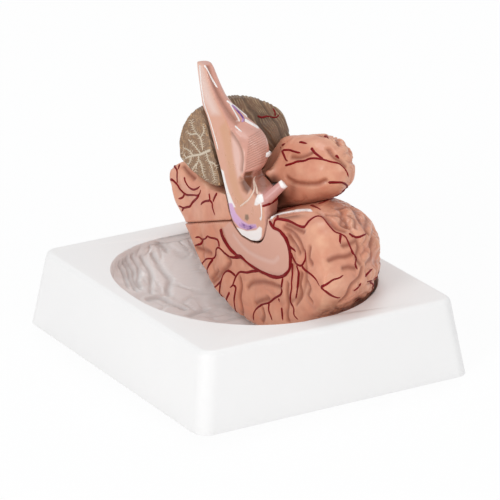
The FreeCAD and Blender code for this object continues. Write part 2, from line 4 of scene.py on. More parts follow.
import bmesh
import bpy
import numpy as np
from bpy.props import FloatProperty, FloatVectorProperty, IntProperty, PointerProperty
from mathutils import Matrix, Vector, kdtree, noise
from mathutils.bvhtree import BVHTree


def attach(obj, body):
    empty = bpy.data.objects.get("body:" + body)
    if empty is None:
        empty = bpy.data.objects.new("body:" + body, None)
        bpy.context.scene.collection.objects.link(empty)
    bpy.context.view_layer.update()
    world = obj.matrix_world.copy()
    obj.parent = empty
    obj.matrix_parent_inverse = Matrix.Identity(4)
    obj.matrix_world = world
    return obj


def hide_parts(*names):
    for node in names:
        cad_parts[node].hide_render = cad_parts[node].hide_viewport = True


bl_info = {
    "name": "Take-apart brain model",
    "version": (1, 0, 0),
    "blender": (4, 5, 0),
    "location": "3D View > Sidebar > Brain model",
    "description": "Dresses the packed brain model and its tray with folds, vessels and paint",
    "category": "Object",
}

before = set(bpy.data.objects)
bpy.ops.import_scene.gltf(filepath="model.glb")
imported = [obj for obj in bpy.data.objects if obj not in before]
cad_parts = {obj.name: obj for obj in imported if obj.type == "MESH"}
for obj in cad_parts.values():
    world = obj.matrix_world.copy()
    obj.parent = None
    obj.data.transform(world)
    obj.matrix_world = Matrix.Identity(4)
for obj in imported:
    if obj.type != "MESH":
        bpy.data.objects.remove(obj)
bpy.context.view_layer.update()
MM = 0.001

# Where the photograph was taken from
PICTURE_SIDE = 500
VIEW_AZIMUTH = math.radians(-30.795225)
VIEW_ELEVATION = math.radians(20.724279)
VIEW_TARGET = Vector((0.0032165, 0.0, 0.0601236))
VIEW_DISTANCE = 2.25
VIEW_LENS = 277.61
VIEW_SENSOR = 36.0
PIXELS_PER_UNIT = VIEW_LENS / VIEW_SENSOR * PICTURE_SIDE

# The seam between the lower and the upper lobes, in mm: its height on the midline, its fall to the back
# and its rise to the side
SEAM_LEVEL = 79.4
SEAM_FALL_BACK = 0.35
SEAM_RISE_OUT = 0.10

# Paths and outlines on the visible side, in pixels of the photograph: u across, v down
CALLOSAL_ARTERY = [
    (220.6, 228.8), (222.1, 235.8), (225.8, 242.5), (230.8, 249.6), (236.7, 254.6), (241.7, 257.5),
    (247.5, 262.5), (254.2, 267.5), (260, 270.8), (266.7, 274.2), (273.3, 276.8), (280, 277.1),
    (285, 274.6), (289.2, 270), (290.4, 263.3), (290.2, 255), (288.8, 246.7), (286.7, 240.8),
    (283.3, 235), (279.2, 230.4), (274.6, 228.3), (271.7, 225.4), (269.2, 220.8), (265.4, 215),
]
MEDIAL_ARTERIES = [
    [(241.3, 257), (235, 257.5), (230, 256.7), (225, 253.3), (221.3, 249.6), (218.3, 247.5),
     (216.3, 249.2), (215.7, 255), (213.3, 258.3), (206.7, 258.8), (203.3, 262), (200.8, 264.6),
     (197.5, 263.3)],
    [(213.3, 258.8), (210, 263.3), (207.5, 268.3), (206.7, 274), (205.8, 277.5)],
    [(219.2, 247), (218.8, 242.5), (216.7, 239.2), (210, 237.5), (207.5, 236.3), (205, 238.8),
     (201.7, 239.2), (199.2, 237), (193.8, 237.9)],
    [(203.3, 239.6), (200.8, 243.8), (195.8, 245.4), (194.6, 247.5)],
    [(260, 270.8), (252.5, 271.3), (246.7, 272.5), (240, 272), (236.3, 275.8), (234.2, 280.8),
     (232.5, 285.4), (228.8, 288.3)],
    [(233.3, 285.4), (235.8, 287.5), (235, 293.3), (234.2, 299.2), (235, 307.5), (237, 315)],
    [(235.4, 275.8), (231.7, 272.5), (227.5, 270.8), (223.8, 274.2), (221.3, 280), (219.6, 282.5),
     (215.8, 286.3), (211.7, 288.8)],
    [(221.3, 280), (220.2, 285), (219.6, 291.7), (220.8, 297.5), (222, 300.8)],
    [(229.6, 292), (226.7, 298.3), (225.4, 305)],
    [(282.9, 277.5), (281.7, 285), (281.7, 291.7), (280, 295), (275, 297.9), (269.2, 302.5),
     (263.3, 304.2), (258.3, 307), (254.6, 311.3), (253.3, 315.8), (253.8, 321.7)],
    [(269.2, 302.9), (268.8, 310), (270.8, 315.8), (272.5, 321.7)],
    [(278.8, 298.3), (279.6, 303.3)],
    [(281.7, 307.5), (282.9, 321.7)],
    [(292.5, 263.3), (292.5, 274), (291.7, 281.7), (291.7, 288.3), (290.4, 295.8), (290.8, 302.5),
     (293.8, 308.3), (294.2, 315), (299, 320.5)],
    [(296.7, 265), (298.5, 273), (298, 283), (297, 292), (295.5, 300)],
    [(288.3, 246.1), (292.8, 248.9), (297.2, 252.8)],
    [(291.1, 252.8), (293.3, 258.3), (296.7, 263.9), (301.1, 265.6), (303.9, 262.2), (305.6, 257.2),
     (304.8, 247.8)],
    [(301.7, 266.1), (305, 270), (311.7, 275), (316.7, 280.6), (320, 287.2)],
    [(320.6, 287.2), (327.2, 283.9), (332.8, 280), (339.4, 277.8), (344.4, 274.4)],
    [(320.6, 287.2), (326.1, 291.7), (331.7, 295.6), (337.2, 297.6), (341.1, 297.6)],
    [(273.3, 226.7), (276.1, 219.4), (286.1, 220.3), (292.8, 222.8), (299.4, 226.1), (304.4, 226.7),
     (309.4, 220.6), (316.1, 216.3), (321.7, 217.2), (326.1, 221.7), (330.6, 227.2), (335, 231.7),
     (340.6, 233.9), (345.6, 237.2), (349.4, 245), (352.2, 251.7), (356.1, 258.3), (355.2, 263.9),
     (357.8, 270.6)],
    [(277.2, 218.9), (277.8, 212.8), (276.1, 210.6), (275.6, 207.2), (277.8, 203.3), (281.7, 201.1)],
    [(277.2, 211.1), (283.9, 210), (291.7, 207.8), (298.3, 205.6), (303.9, 204.4)],
    [(340.6, 234.4), (340, 240.6), (340.6, 245)],
    [(348.9, 233.3), (352.8, 236.1), (358.3, 237.2), (367.2, 233.3)],
    [(365, 276.7), (369.4, 271.7), (373.3, 268.3)],
    [(353.9, 290.6), (358.3, 287.2), (361.7, 281.7)],
    [(306.1, 196.1), (309.4, 192.8), (312.2, 191.7)],
    [(295, 197.8), (300.6, 196.1), (309.4, 198.3)],
    [(318.3, 204.1), (323.9, 202.2), (330.6, 198.9), (335.6, 197.8)],
    [(310.6, 205), (317.2, 207.8), (321.7, 210.6)],
]
MEDIAL_SULCI = [
    [(227.7, 257.6), (229.5, 263.3), (222, 272.5), (215.1, 280.5), (209.4, 285.1)],
    [(239.4, 278.2), (240.6, 286.3), (239.4, 297.8), (241.7, 309.2), (241.7, 320.7)],
    [(247.2, 287.4), (251.8, 283.4), (261, 282.3), (270.2, 284), (279.4, 287.4)],
    [(255.3, 303.5), (259.9, 301.4), (268.2, 299.2)],
    [(283.7, 227.1), (292.9, 233.3), (299, 241.4), (302.1, 249.6)],
    [(287.8, 235.2), (293.9, 243.4), (299, 252.6)],
    [(309.2, 247.6), (308.2, 257.8), (311.2, 263.9)],
    [(329.6, 259.8), (337.8, 256.7), (346.9, 255.7), (352, 253.7)],
    [(343.9, 268), (349, 266.9), (356.1, 268)],
    [(301, 274.1), (299, 284.3), (301, 294.5), (295.9, 303.7)],
    [(307.1, 282.2), (309.2, 288.4), (307.1, 295.5), (311.2, 301.6)],
    [(286, 224), (295, 227.6), (303, 231.4)],
    [(279, 206), (286, 203.2), (295, 201), (303, 201.5)],
    [(196, 248), (204, 250.5), (210, 253)],
    [(205, 282), (212, 279), (217.5, 271)],
    [(262, 309), (263.5, 316), (262, 322)],
    [(287, 284), (286.4, 293), (287.5, 303), (286.5, 314), (288, 321)],
]
FRONTAL_SMOOTH = [
    (160, 160), (262, 160), (285, 195), (305, 199), (322, 208), (334, 220), (343, 233), (351, 246),
    (357, 262),
    (352, 284), (338, 300), (322, 312), (300, 330), (230, 330), (160, 230),
]
TEMPORAL_SMOOTH = [
    (160, 150), (225, 150), (262, 190), (268, 150), (280, 132), (300, 130), (326, 133), (342, 148),
    (350, 170),
    (348, 190), (330, 200), (262, 200), (220, 232), (160, 232),
]
FRONTAL_SULCI = [
    [(312.5, 209), (321, 213.3), (329, 220), (337, 227.6), (345.5, 230.5)],
    [(327.6, 213.9), (336.7, 214.9), (342.8, 218), (341.8, 224.1), (348, 227.1)],
    [(365.3, 210.8), (367.3, 219), (365.3, 227.1), (369.4, 233.3)],
    [(372.4, 236.3), (371.4, 247.6), (372.4, 256.7), (367.3, 263.8)],
    [(357.1, 239.4), (359.2, 247.6), (357.1, 256.7), (361.3, 263.8)],
    [(321.4, 203.7), (327.6, 204.7), (335.7, 207.8), (345, 206), (352, 208)],
    [(349, 214), (355.5, 219), (356, 226.5)],
    [(344, 245), (350, 243.5), (356, 240.5)],
    [(340, 303), (347, 296), (352, 285.5), (360, 277.6), (363, 268)],
]
TEMPORAL_ARTERIES = [
    [(280.6, 147.2), (282.2, 151.1), (283.9, 155), (286.1, 160), (288.9, 161.4)],
    [(282.8, 150), (289.4, 150), (295, 151.7), (301.7, 153.3)],
    [(299.4, 141.7), (303.9, 142.8), (308.3, 144.1)],
    [(311.1, 147.8), (315, 152.8), (320.6, 157.2), (324.4, 159.4)],
    [(285, 165.6), (292.8, 163.3), (297.2, 161.4), (303.9, 160.8), (309.4, 158.7), (315, 158.3),
     (322.8, 159.4), (330.6, 161.7), (338.3, 163.3), (342.8, 166.7), (346.7, 171.7), (348.9, 178.3)],
    [(335.6, 155), (340, 159.4)],
    [(328.3, 182.4), (336.1, 182.4), (342.8, 182.8), (347.2, 186.1), (346.7, 191.7), (342.8, 195.6)],
    [(281.7, 145.6), (286.1, 142.8), (288.3, 141.1)],
    [(324.4, 135.6), (327.2, 137.2), (329.2, 140)],
    [(170, 180), (172.5, 180), (177.5, 185), (180, 189.2), (184.2, 193.3), (187.5, 195), (193.3, 195),
     (197.9, 195.4), (200, 192.5), (200.7, 188.3)],
    [(172.5, 164.2), (174.6, 166.7), (177.1, 170.8), (177.1, 177.5), (177.5, 184.2)],
    [(179.6, 164.2), (178.8, 167.5), (177.1, 170.8)],
    [(184.2, 177.1), (185.8, 182.5), (189.2, 187.5), (193.3, 189.6), (197.5, 188.3), (200.8, 185.4)],
    [(199.2, 194.2), (196.7, 198.3), (192.5, 202.5), (190, 206.3), (187.5, 207), (183.3, 207.9),
     (180, 206.3), (177, 205.8)],
    [(183.8, 208.3), (180.8, 212.5)],
    [(184.6, 193.8), (182.5, 197.5), (177, 199.2)],
    [(209.2, 193.3), (209.6, 200), (205, 201.3), (201.7, 203.3), (200.4, 206.3)],
    [(209.6, 200), (212.1, 203.3), (212.5, 207.5), (214.6, 214.2), (215.4, 216.7)],
    [(217, 192.9), (214.6, 197.5), (212.5, 203.3)],
]
TEMPORAL_SULCI = [
    [(287, 178), (296, 183), (309, 184.5), (318, 184), (325, 181)],
    [(291, 156.6), (299, 157), (306, 155), (312, 151.6)],
    [(329, 149), (334, 156), (341, 161), (346, 166)],
    [(183.5, 166), (188, 172), (194, 177.5)],
]
CEREBELLUM_ARTERIES = [
    [(257.5, 115.8), (261.7, 117.5), (267.5, 116.3), (275.8, 117.5), (280, 113.3)],
    [(275.4, 115.8), (274.6, 111.5), (272.5, 107.5)],
]
ARBOR_TRUNK = [(210.5, 150), (207.5, 151.3), (200.8, 154.2), (195, 155.4), (189.2, 156.7), (184.5, 159)]
ARBOR_BRANCHES = [
    [(198.8, 154.8), (198.4, 160.5), (196.7, 165), (195.8, 170)],
    [(199.2, 159.5), (201.8, 165.5), (202.8, 172), (206, 179)],
    [(197.4, 163), (193.6, 167.8), (191.5, 171)],
    [(206.2, 152), (208.3, 160), (211.5, 166.5), (213.5, 174), (215, 181)],
    [(208.8, 161.5), (213.6, 163.2), (216.5, 167)],
    [(200.8, 153.5), (196.3, 147.8), (191.5, 142)],
    [(202.6, 150), (202, 144), (200.4, 138), (196.7, 133.3), (193.3, 128.3), (191.7, 121.7)],
    [(200.4, 138), (203.8, 131.5), (203.4, 125)],
    [(196.7, 133.3), (191, 134.4), (187.5, 132)],
    [(193.5, 155.8), (189, 150.5), (184, 147.5)],
    [(191.7, 156.4), (189.5, 162.5), (187, 166)],
    [(186.5, 157.6), (183, 153.5)],
    [(188.3, 139.5), (192, 142.6)],
]
CEREBELLUM_CUT = [
    (199.6, 105.8), (195, 110), (190, 115.8), (185, 125.8), (181.7, 133.3), (179.6, 140.8), (177.9, 150),
    (177.5, 155), (180, 160.8), (184.2, 170), (190, 175.8), (196.7, 182.5), (201.7, 187.5), (210, 191.3),
    (218.3, 192.5), (219.2, 170), (217.9, 158.3), (214.2, 152.5), (210, 141.7), (206.7, 130), (200, 119.2),
]
OLFACTORY_TRACT = [
    (271, 219), (275, 216.4), (281, 214.2), (288, 212.8), (295, 211.6), (301, 211), (307, 210.6),
    (312.6, 211.4),
]
OPTIC_ARTERY = [
    (262.2, 206.4), (270.6, 203.4), (277.2, 198.8), (281.7, 195.4), (286.1, 190.4), (287.6, 186),
]

HOLLOW_GROOVES = [
    [(133, 257), (137, 263), (139.5, 269), (139.5, 275), (138, 280), (140, 287)],
    [(142, 257), (146, 264), (150, 270), (152, 277), (151.5, 285), (151.5, 292)],
    [(153.5, 255), (158, 262), (161, 268), (166, 274), (170, 279), (169.5, 284), (168, 289), (168.5, 294)],
    [(127, 259), (131, 266), (134.5, 272), (134.5, 279), (139, 286)],
    [(124, 262), (128, 268), (130, 275), (132, 281), (136, 289)],
    [(119.5, 265), (123, 271), (126, 279), (128, 285)],
    [(156, 241), (162, 244.5), (167, 249.5)],
    [(148, 299), (160, 297.5), (172, 303), (184, 308)],
    [(190, 315), (197, 312), (206, 309)],
]

# Painted areas of the stem, in pixels of the photograph
STEM_CUT_EDGE = [
    (196, 60), (205, 65), (207.9, 75.8), (210, 85.8), (216.7, 101.7), (223.3, 113.3), (226.7, 121.7),
    (231, 138), (233.5, 155), (236.5, 175), (240, 195), (244, 212), (200, 212), (190, 120),
]
STEM_TAN_BAND = [
    (225.5, 121), (229.5, 131), (231.5, 145), (233, 160), (236, 176), (240, 192), (246, 205),
    (238, 207), (232.5, 192), (228.5, 176), (226, 160), (223.5, 143), (219.5, 128),
]
STEM_PONS_LIGHT = [
    (231, 130), (238, 139), (243.5, 152), (245, 166), (243.5, 172), (238, 178), (236, 170), (232.5, 150),
]
STEM_SHADE_FOLD = [
    (239.6, 182.6), (245.7, 173.4), (253, 172), (253.8, 178), (252, 186), (246.7, 193.6), (242.6, 190.4),
]
STEM_BROWN_FACE = [
    (256.4, 174.2), (263, 171.6), (267.6, 168), (273.4, 176.4), (275.6, 183), (267.6, 187.4), (262, 192.8),
    (256.6, 191.6), (255.2, 184.7),
]
STEM_GROOVE_SHADE = [
    (208, 66), (213.5, 80), (219, 93), (226, 103), (233, 113), (241, 121), (236, 126), (228, 118),
    (219, 104), (213, 88), (208.5, 75),
]
STEM_WHITE_STRIP = [
    (219.6, 168), (223.5, 171), (226, 182), (229, 192), (233, 202), (235.5, 207), (229.2, 208.5),
    (224, 194), (220.5, 180),
]
STEM_LILAC = [
    (228, 203), (232.2, 203.2), (236, 213.2), (242, 220.2), (248.3, 224.4), (255.7, 224.2), (257, 227.8),
    (248, 230), (240, 228), (234, 221.5), (229, 211.5),
]
STEM_FORNIX = [
    (236.5, 227.5), (240, 228.5), (247, 231), (256, 230), (259.5, 226.5), (262, 228), (261.5, 237),
    (258, 243.5), (250, 242), (243, 237), (237.5, 231.5),
]
STEM_PURPLE = [
    [(239.6, 224.6), (243, 226.7), (246.7, 228.8), (250.6, 228.2), (255, 226.2)],
    [(241.6, 223.6), (244.8, 225.4), (248.4, 226.6), (252.4, 226)],
]
OPTIC_TUBE = [(260.5, 193), (274, 180.5), (283, 178), (284, 190), (268, 204), (262, 205)]
STEM_WHITE_PATCH = [
    (257.6, 194.6), (262.5, 194), (263.8, 201.6), (256.7, 205.4), (254.2, 205), (255.4, 199.6),
]
STEM_OLIVE_DOT = [(245.2, 214.6), (248.2, 214.6), (249, 218.5), (247.2, 220.8), (244.8, 219)]
# White lines on the stem; the third, short one on the pons is a painted highlight
STEM_WHITE_LINES = [
    [(204.6, 65), (208, 71), (212, 79), (215.4, 84.6), (218, 88.4)],
    [(230.2, 104.4), (234, 110.8), (237.9, 117.5), (239.8, 122.3)],
    [(235, 125.8), (238.8, 129.4), (242.5, 132.5)],
    [(260.8, 203), (261.6, 212), (261.2, 220.6)],
]
STEM_WHITE_KNOB = [(261, 217.4), (260.6, 219.6), (261.2, 221.6)]
STEM_WHITE_RIBBON = [(226.6, 100.6), (231, 104), (237, 108), (242.6, 112.6), (248, 118.2)]
STEM_VIOLET_LINE = [(231.4, 104.8), (236, 109.4), (240.6, 114.6), (243.4, 119.4), (241.2, 122.6)]
STEM_NERVE_BAND = [(244.5, 119.8), (249.8, 123), (255, 126), (260, 129.2)]
STEM_TAN_ARC = [(240, 206.5), (247.5, 200.6), (251.7, 195), (254.2, 188.3), (253.2, 179)]
STEM_PALE_ARC = [(257.4, 194), (256.5, 187), (253.8, 180), (256, 175.6)]
STEM_CUT_RIM = [
    (199.8, 65), (200.4, 75), (201.3, 86), (202.8, 95), (204.6, 105), (209.2, 118), (214, 134), (218.6, 151),
]
STEM_MEDULLA_PALE = [
    (197, 64), (202.5, 65), (206.5, 79), (211.5, 95), (216, 106), (219, 114), (212, 114), (203, 100),
    (199, 84),
]
STEM_SULCI = [
    [(208.6, 66.4), (212.6, 80), (219.4, 95), (228.4, 109), (236, 119)],
    [(240.4, 179.5), (246, 181.6), (252, 178), (260, 174), (268.4, 166.4)],
    [(252.6, 178), (252.4, 188), (256, 195)],
    [(231, 133), (238.6, 145), (241.6, 157), (241, 170)],
]
PONS_LINES_FROM = [(249.5, 137), (246, 170)]
PONS_LINES_TO = [(264, 128.5), (268.5, 160)]
PONS_LINE_COUNT = 14
TRIGEMINAL_ROOT = [(265.6, 155.6), (268.8, 153.6), (271.6, 150.6)]
OPTIC_CAP = [(277.6, 180.6), (282.6, 178), (287.5, 180), (288, 187), (284, 189), (281.2, 187.6)]

# Outlines on the midline face, (y, z) in mm
CALLOSUM_OUTER = [
    (27.7, 64.7), (20.3, 56.7), (7.5, 52.7), (-9.5, 52.5), (-22, 53.2), (-38.5, 57), (-46.6, 61.9),
    (-49.7, 69.1), (-48.6, 76.7), (-42.4, 82.6), (-30.2, 85), (-23, 88.8),
]
CALLOSUM_INNER = [
    (-21.9, 81.7), (-19.8, 76.5), (-13.6, 69.4), (-5.2, 68.4), (7.4, 69), (18, 72.5),
]
CALLOSUM_LINE = [(14, 65.5), (4, 61.5), (-8, 60.5), (-20, 61.5), (-31, 63.5), (-37, 68)]

# Hidden side of the lobes, looking in from the side: (y, z) in mm
SIDE_ARTERIES_LOWER = [
    [(-12, 80), (-9, 68), (-2, 56), (2, 42), (11, 30), (16, 18)],
    [(-26, 86), (-30, 72), (-42, 64), (-52, 52), (-64, 48), (-72, 40)],
    [(-42, 64), (-40, 52), (-34, 42), (-36, 28)],
    [(8, 76), (18, 66), (22, 52), (32, 42), (38, 30)],
    [(24, 70), (36, 62), (48, 56), (60, 56), (70, 50)],
    [(48, 56), (54, 44), (62, 36)],
    [(-64, 48), (-70, 56), (-78, 60)],
    [(2, 42), (-8, 36), (-14, 26)],
]
SIDE_ARTERIES_UPPER = [
    [(-30, 93), (-18, 100), (-4, 101), (10, 98), (22, 92)],
    [(6, 80), (16, 86), (30, 84), (42, 80), (54, 70)],
    [(30, 84), (38, 92), (50, 90), (60, 84)],
    [(-4, 101), (4, 110), (16, 108)],
    [(54, 70), (66, 72), (76, 66)],
]


def linear(code):
    """A six-digit colour code as the four linear numbers that a shader takes."""
    parts = [int(code[k:k + 2], 16) / 255 for k in (0, 2, 4)]
    return [c / 12.92 if c <= 0.04045 else ((c + 0.055) / 1.055) ** 2.4 for c in parts] + [1.0]


def colour_choice(name, about, code):
    """A colour that the panel offers."""
    return FloatVectorProperty(
        name=name, description=about, subtype="COLOR", size=4, min=0, max=1, default=linear(code))


def length_choice(name, about, start, low, high, precision=5):
    """A length that the panel offers, in metres."""
    return FloatProperty(
        name=name, description=about, default=start, min=low, max=high, unit="LENGTH", precision=precision)


def power_choice(name, about, start):
    """The power of a lamp, in watts."""
    return FloatProperty(name=name, description=about, default=start, unit="POWER")


class BrainSizes(bpy.types.PropertyGroup):
    """Sizes of the detail that is worked into the moulded pieces."""
    lobe_voxel: length_choice("Lobe grain", "Mesh size of the two lobes", 0.00075, 0.0005, 0.003)
    fine_voxel: length_choice(
        "Fine grain", "Mesh size of the stem and the cerebellum", 0.00046, 0.0003, 0.002)
    sulcus_gain: FloatProperty(
        name="Sulcus gain", description="How much the folds of the moulding are deepened",
        default=1.0, min=0, max=2)
    crease_depth: length_choice(
        "Crease depth", "Depth of the small creases between the folds", 0.0011, 0, 0.003)
    midline_depth: length_choice(
        "Midline fold depth", "Depth of the soft folds on the midline face", 0.0013, 0, 0.004)
    gyrus_width: length_choice(
        "Gyrus width", "Typical distance from one small crease to the next", 0.0135, 0.005, 0.04, 4)
    artery_radius: length_choice("Artery radius", "Radius of the raised arteries", 0.00105, 0.0002, 0.002)
    ridge_depth: length_choice(
        "Ridge depth", "Depth that is worked into the grooves of the hollow", 0.0014, 0, 0.002)
    ridge_width: length_choice(
        "Ridge width", "Typical distance between the grooves of the hollow", 0.012, 0.005, 0.04, 4)
    folia_pitch: length_choice(
        "Folia pitch", "Distance between the fine folds of the cerebellum", 0.0017, 0.001, 0.005)
    folia_depth: length_choice("Folia depth", "Depth of the fine folds of the cerebellum", 0.00038, 0, 0.001)


class BrainColours(bpy.types.PropertyGroup):
    """Colours of the paint and of the tray."""
    cortex: colour_choice("Cortex", "Paint of the folded surface", "d68f74")
    cortex_light: colour_choice("Cortex light", "Paler blotches of the folded surface", "e2a487")
    # Lighter crests of the lobes: rubbed paint and a painted highlight
    cortex_crest_highlight: colour_choice("Cortex crest", "Rubbed tops of the crests", "f0c4a2")
    # Dark wash and painted shade in the folds, and the deeper painted shade beside the stem and along the
    # seam
    cortex_shade: colour_choice("Cortex shade", "Paint that lies in the folds", "8f4b34")
    callosum: colour_choice("Corpus callosum", "Band round the middle of the midline face", "d9a491")
    artery: colour_choice("Artery", "Raised arteries", "84070f")
    stem_pink: colour_choice("Stem pink", "Outer side of the brain stem", "dba08f")
    stem_tan: colour_choice("Stem tan", "Cut face of the brain stem", "d99e84")
    optic: colour_choice("Optic nerve", "Stub of the optic nerve", "cb9290")
    stem_light: colour_choice("Stem light", "Pale field on the pons", "e5b8aa")
    stem_amber: colour_choice("Stem amber", "Warm band along the stem", "cf9466")
    # Brown paint on the peduncle, and painted shade in the folds and grooves of the stem
    stem_brown_and_shade: colour_choice("Stem brown", "Hollows of the brain stem", "7a4730")
    nerve_white: colour_choice("Nerve white", "Nerves and fibre tracts", "f6efec")
    tract: colour_choice("Tract", "Cream tracts on the stem", "f0d6c4")
    lilac: colour_choice("Lilac", "Plexus bed", "d6a9d2")
    violet: colour_choice("Violet", "Plexus", "6b3a86")
    cerebellum: colour_choice("Cerebellum", "Fine folds of the cerebellum", "886850")
    cerebellum_cut: colour_choice("Cerebellum cut", "Ground of the cut face", "836143")
    # Painted highlight on the crests of the fine folds
    cerebellum_crest_highlight: colour_choice("Cerebellum light", "Crests of the fine folds", "c2a985")
    leaves: colour_choice("Leaves", "Small leaves on the cut face", "d0a272")
    arbor: colour_choice("Arbor", "Branching white matter on the cut face", "dccbb4")
    tray: colour_choice("Tray", "Moulded tray", "f0eeed")
    peg: colour_choice("Pegs", "Steel pegs", "8f9296")


class StageSettings(bpy.types.PropertyGroup):
    """Lamps, floor and the camera."""
    key_power: power_choice("Key lamp", "Power of the main soft lamp", 14.6)
    fill_power: power_choice("Fill lamp", "Power of the second soft lamp", 4.6)
    top_power: power_choice("Top lamp", "Power of the lamp overhead", 7.0)
    sky_strength: FloatProperty(name="Sky", description="Strength of the plain surroundings", default=0.68)
    seed: IntProperty(name="Seed", description="Start of the random twigs", default=7)


def sizes():
    return bpy.context.scene.brain_sizes


def colours():
    return bpy.context.scene.brain_colours


# Sight lines

def view_axes():
    """Right, up and back of the photograph's camera."""
    back = Vector((
        math.sin(VIEW_AZIMUTH) * math.cos(VIEW_ELEVATION),
        -math.cos(VIEW_AZIMUTH) * math.cos(VIEW_ELEVATION),
        math.sin(VIEW_ELEVATION),
    ))
    right = Vector((math.cos(VIEW_AZIMUTH), math.sin(VIEW_AZIMUTH), 0))
    return right, back.cross(right), back


RIGHT, UP, BACK = view_axes()
EYE = VIEW_TARGET + BACK * VIEW_DISTANCE


def sight(u, v):
    """Direction from the camera through a pixel."""
    half = PICTURE_SIDE / 2
    return (RIGHT * ((u - half) / PIXELS_PER_UNIT) + UP * ((half - v) / PIXELS_PER_UNIT) - BACK).normalized()


def pixels_of(points):
    """Pixel coordinates of points in the frame."""
    rel = points - np.array(EYE)
    depth = -(rel @ np.array(BACK))
    half = PICTURE_SIDE / 2
    u = half + PIXELS_PER_UNIT * (rel @ np.array(RIGHT)) / depth
    v = half - PIXELS_PER_UNIT * (rel @ np.array(UP)) / depth
    return np.stack([u, v], 1)


def smooth_line(points, step):
    """A rounded line through the points, with steps of about the given length."""
    pts = np.array(points, float)
    if len(pts) < 3:
        pts = np.vstack([pts[0], pts.mean(0), pts[-1]])
    ends = np.vstack([2 * pts[0] - pts[1], pts, 2 * pts[-1] - pts[-2]])
    out = []
    for k in range(1, len(ends) - 2):
        a, b, c, d = ends[k - 1:k + 3]
        count = max(1, int(round(np.linalg.norm(c - b) / step)))
        for t in np.arange(count) / count:
            out.append(0.5 * (
                2 * b + (c - a) * t + (2 * a - 5 * b + 4 * c - d) * t ** 2
                + (3 * b - a - 3 * c + d) * t ** 3))
    out.append(ends[-2])
    return np.array(out)


def settled(hits, tree, origins, directions):
    """Fills the gaps of a line of hits with the nearest surface point at the depth of its neighbours."""
    known = [k for k, hit in enumerate(hits) if hit is not None]
    if not known:
        return []
    line = []
    for k, hit in enumerate(hits):
        if hit is None:
            near = min(known, key=lambda j: abs(j - k))
            reach = (hits[near][0] - origins[near]).length
            found = tree.find_nearest(origins[k] + directions[k] * reach)
            hit = (found[0], found[1])
        line.append(hit)
    return line


JUMP = 0.006


def runs(line):
    """Cuts a line of surface points where it leaps from one part of the surface to another."""
    pieces, run = [], []
    for hit in line:
        if run and (hit[0] - run[-1][0]).length > JUMP:
            pieces.append(run)
            run = []
        run.append(hit)
    pieces.append(run)
    return [piece for piece in pieces if len(piece) > 2]


PIXEL_STEP = 1.1
SIDE_STEP = 1.0
SIDE_START = 0.12


def struck(tree, origins, directions):
    """The runs of surface points that are met from the origins along the directions."""
    hits = []
    for start, way in zip(origins, directions):
        place, normal, _, _ = tree.ray_cast(start, way)
        hits.append(None if place is None else (place, normal))
    return runs(settled(hits, tree, origins, directions))


def on_view(tree, path):
    """The points of the surface that lie behind a pixel path."""
    directions = [sight(u, v) for u, v in smooth_line(path, PIXEL_STEP)]
    return struck(tree, [EYE] * len(directions), directions)


def on_views(tree, paths):
    """The points of the surface behind several pixel paths."""
    return [run for path in paths for run in on_view(tree, path)]


def on_side(tree, path, sign=1):
    """The points of the surface under a (y, z) path in mm, seen from the side."""
    line = smooth_line(path, SIDE_STEP)
    origins = [Vector((sign * SIDE_START, y * MM, z * MM)) for y, z in line]
    return struck(tree, origins, [Vector((-sign, 0, 0))] * len(origins))


# Working on a piece

def smoothstep(low, high, value):
    t = np.clip((value - low) / (high - low), 0, 1)
    return t * t * (3 - 2 * t)


def applied(holder):
    """The mesh of an object with its modifiers or bevel applied; the object goes."""
    depsgraph = bpy.context.evaluated_depsgraph_get()
    mesh = bpy.data.meshes.new_from_object(holder.evaluated_get(depsgraph))
    bpy.data.objects.remove(holder)
    return mesh


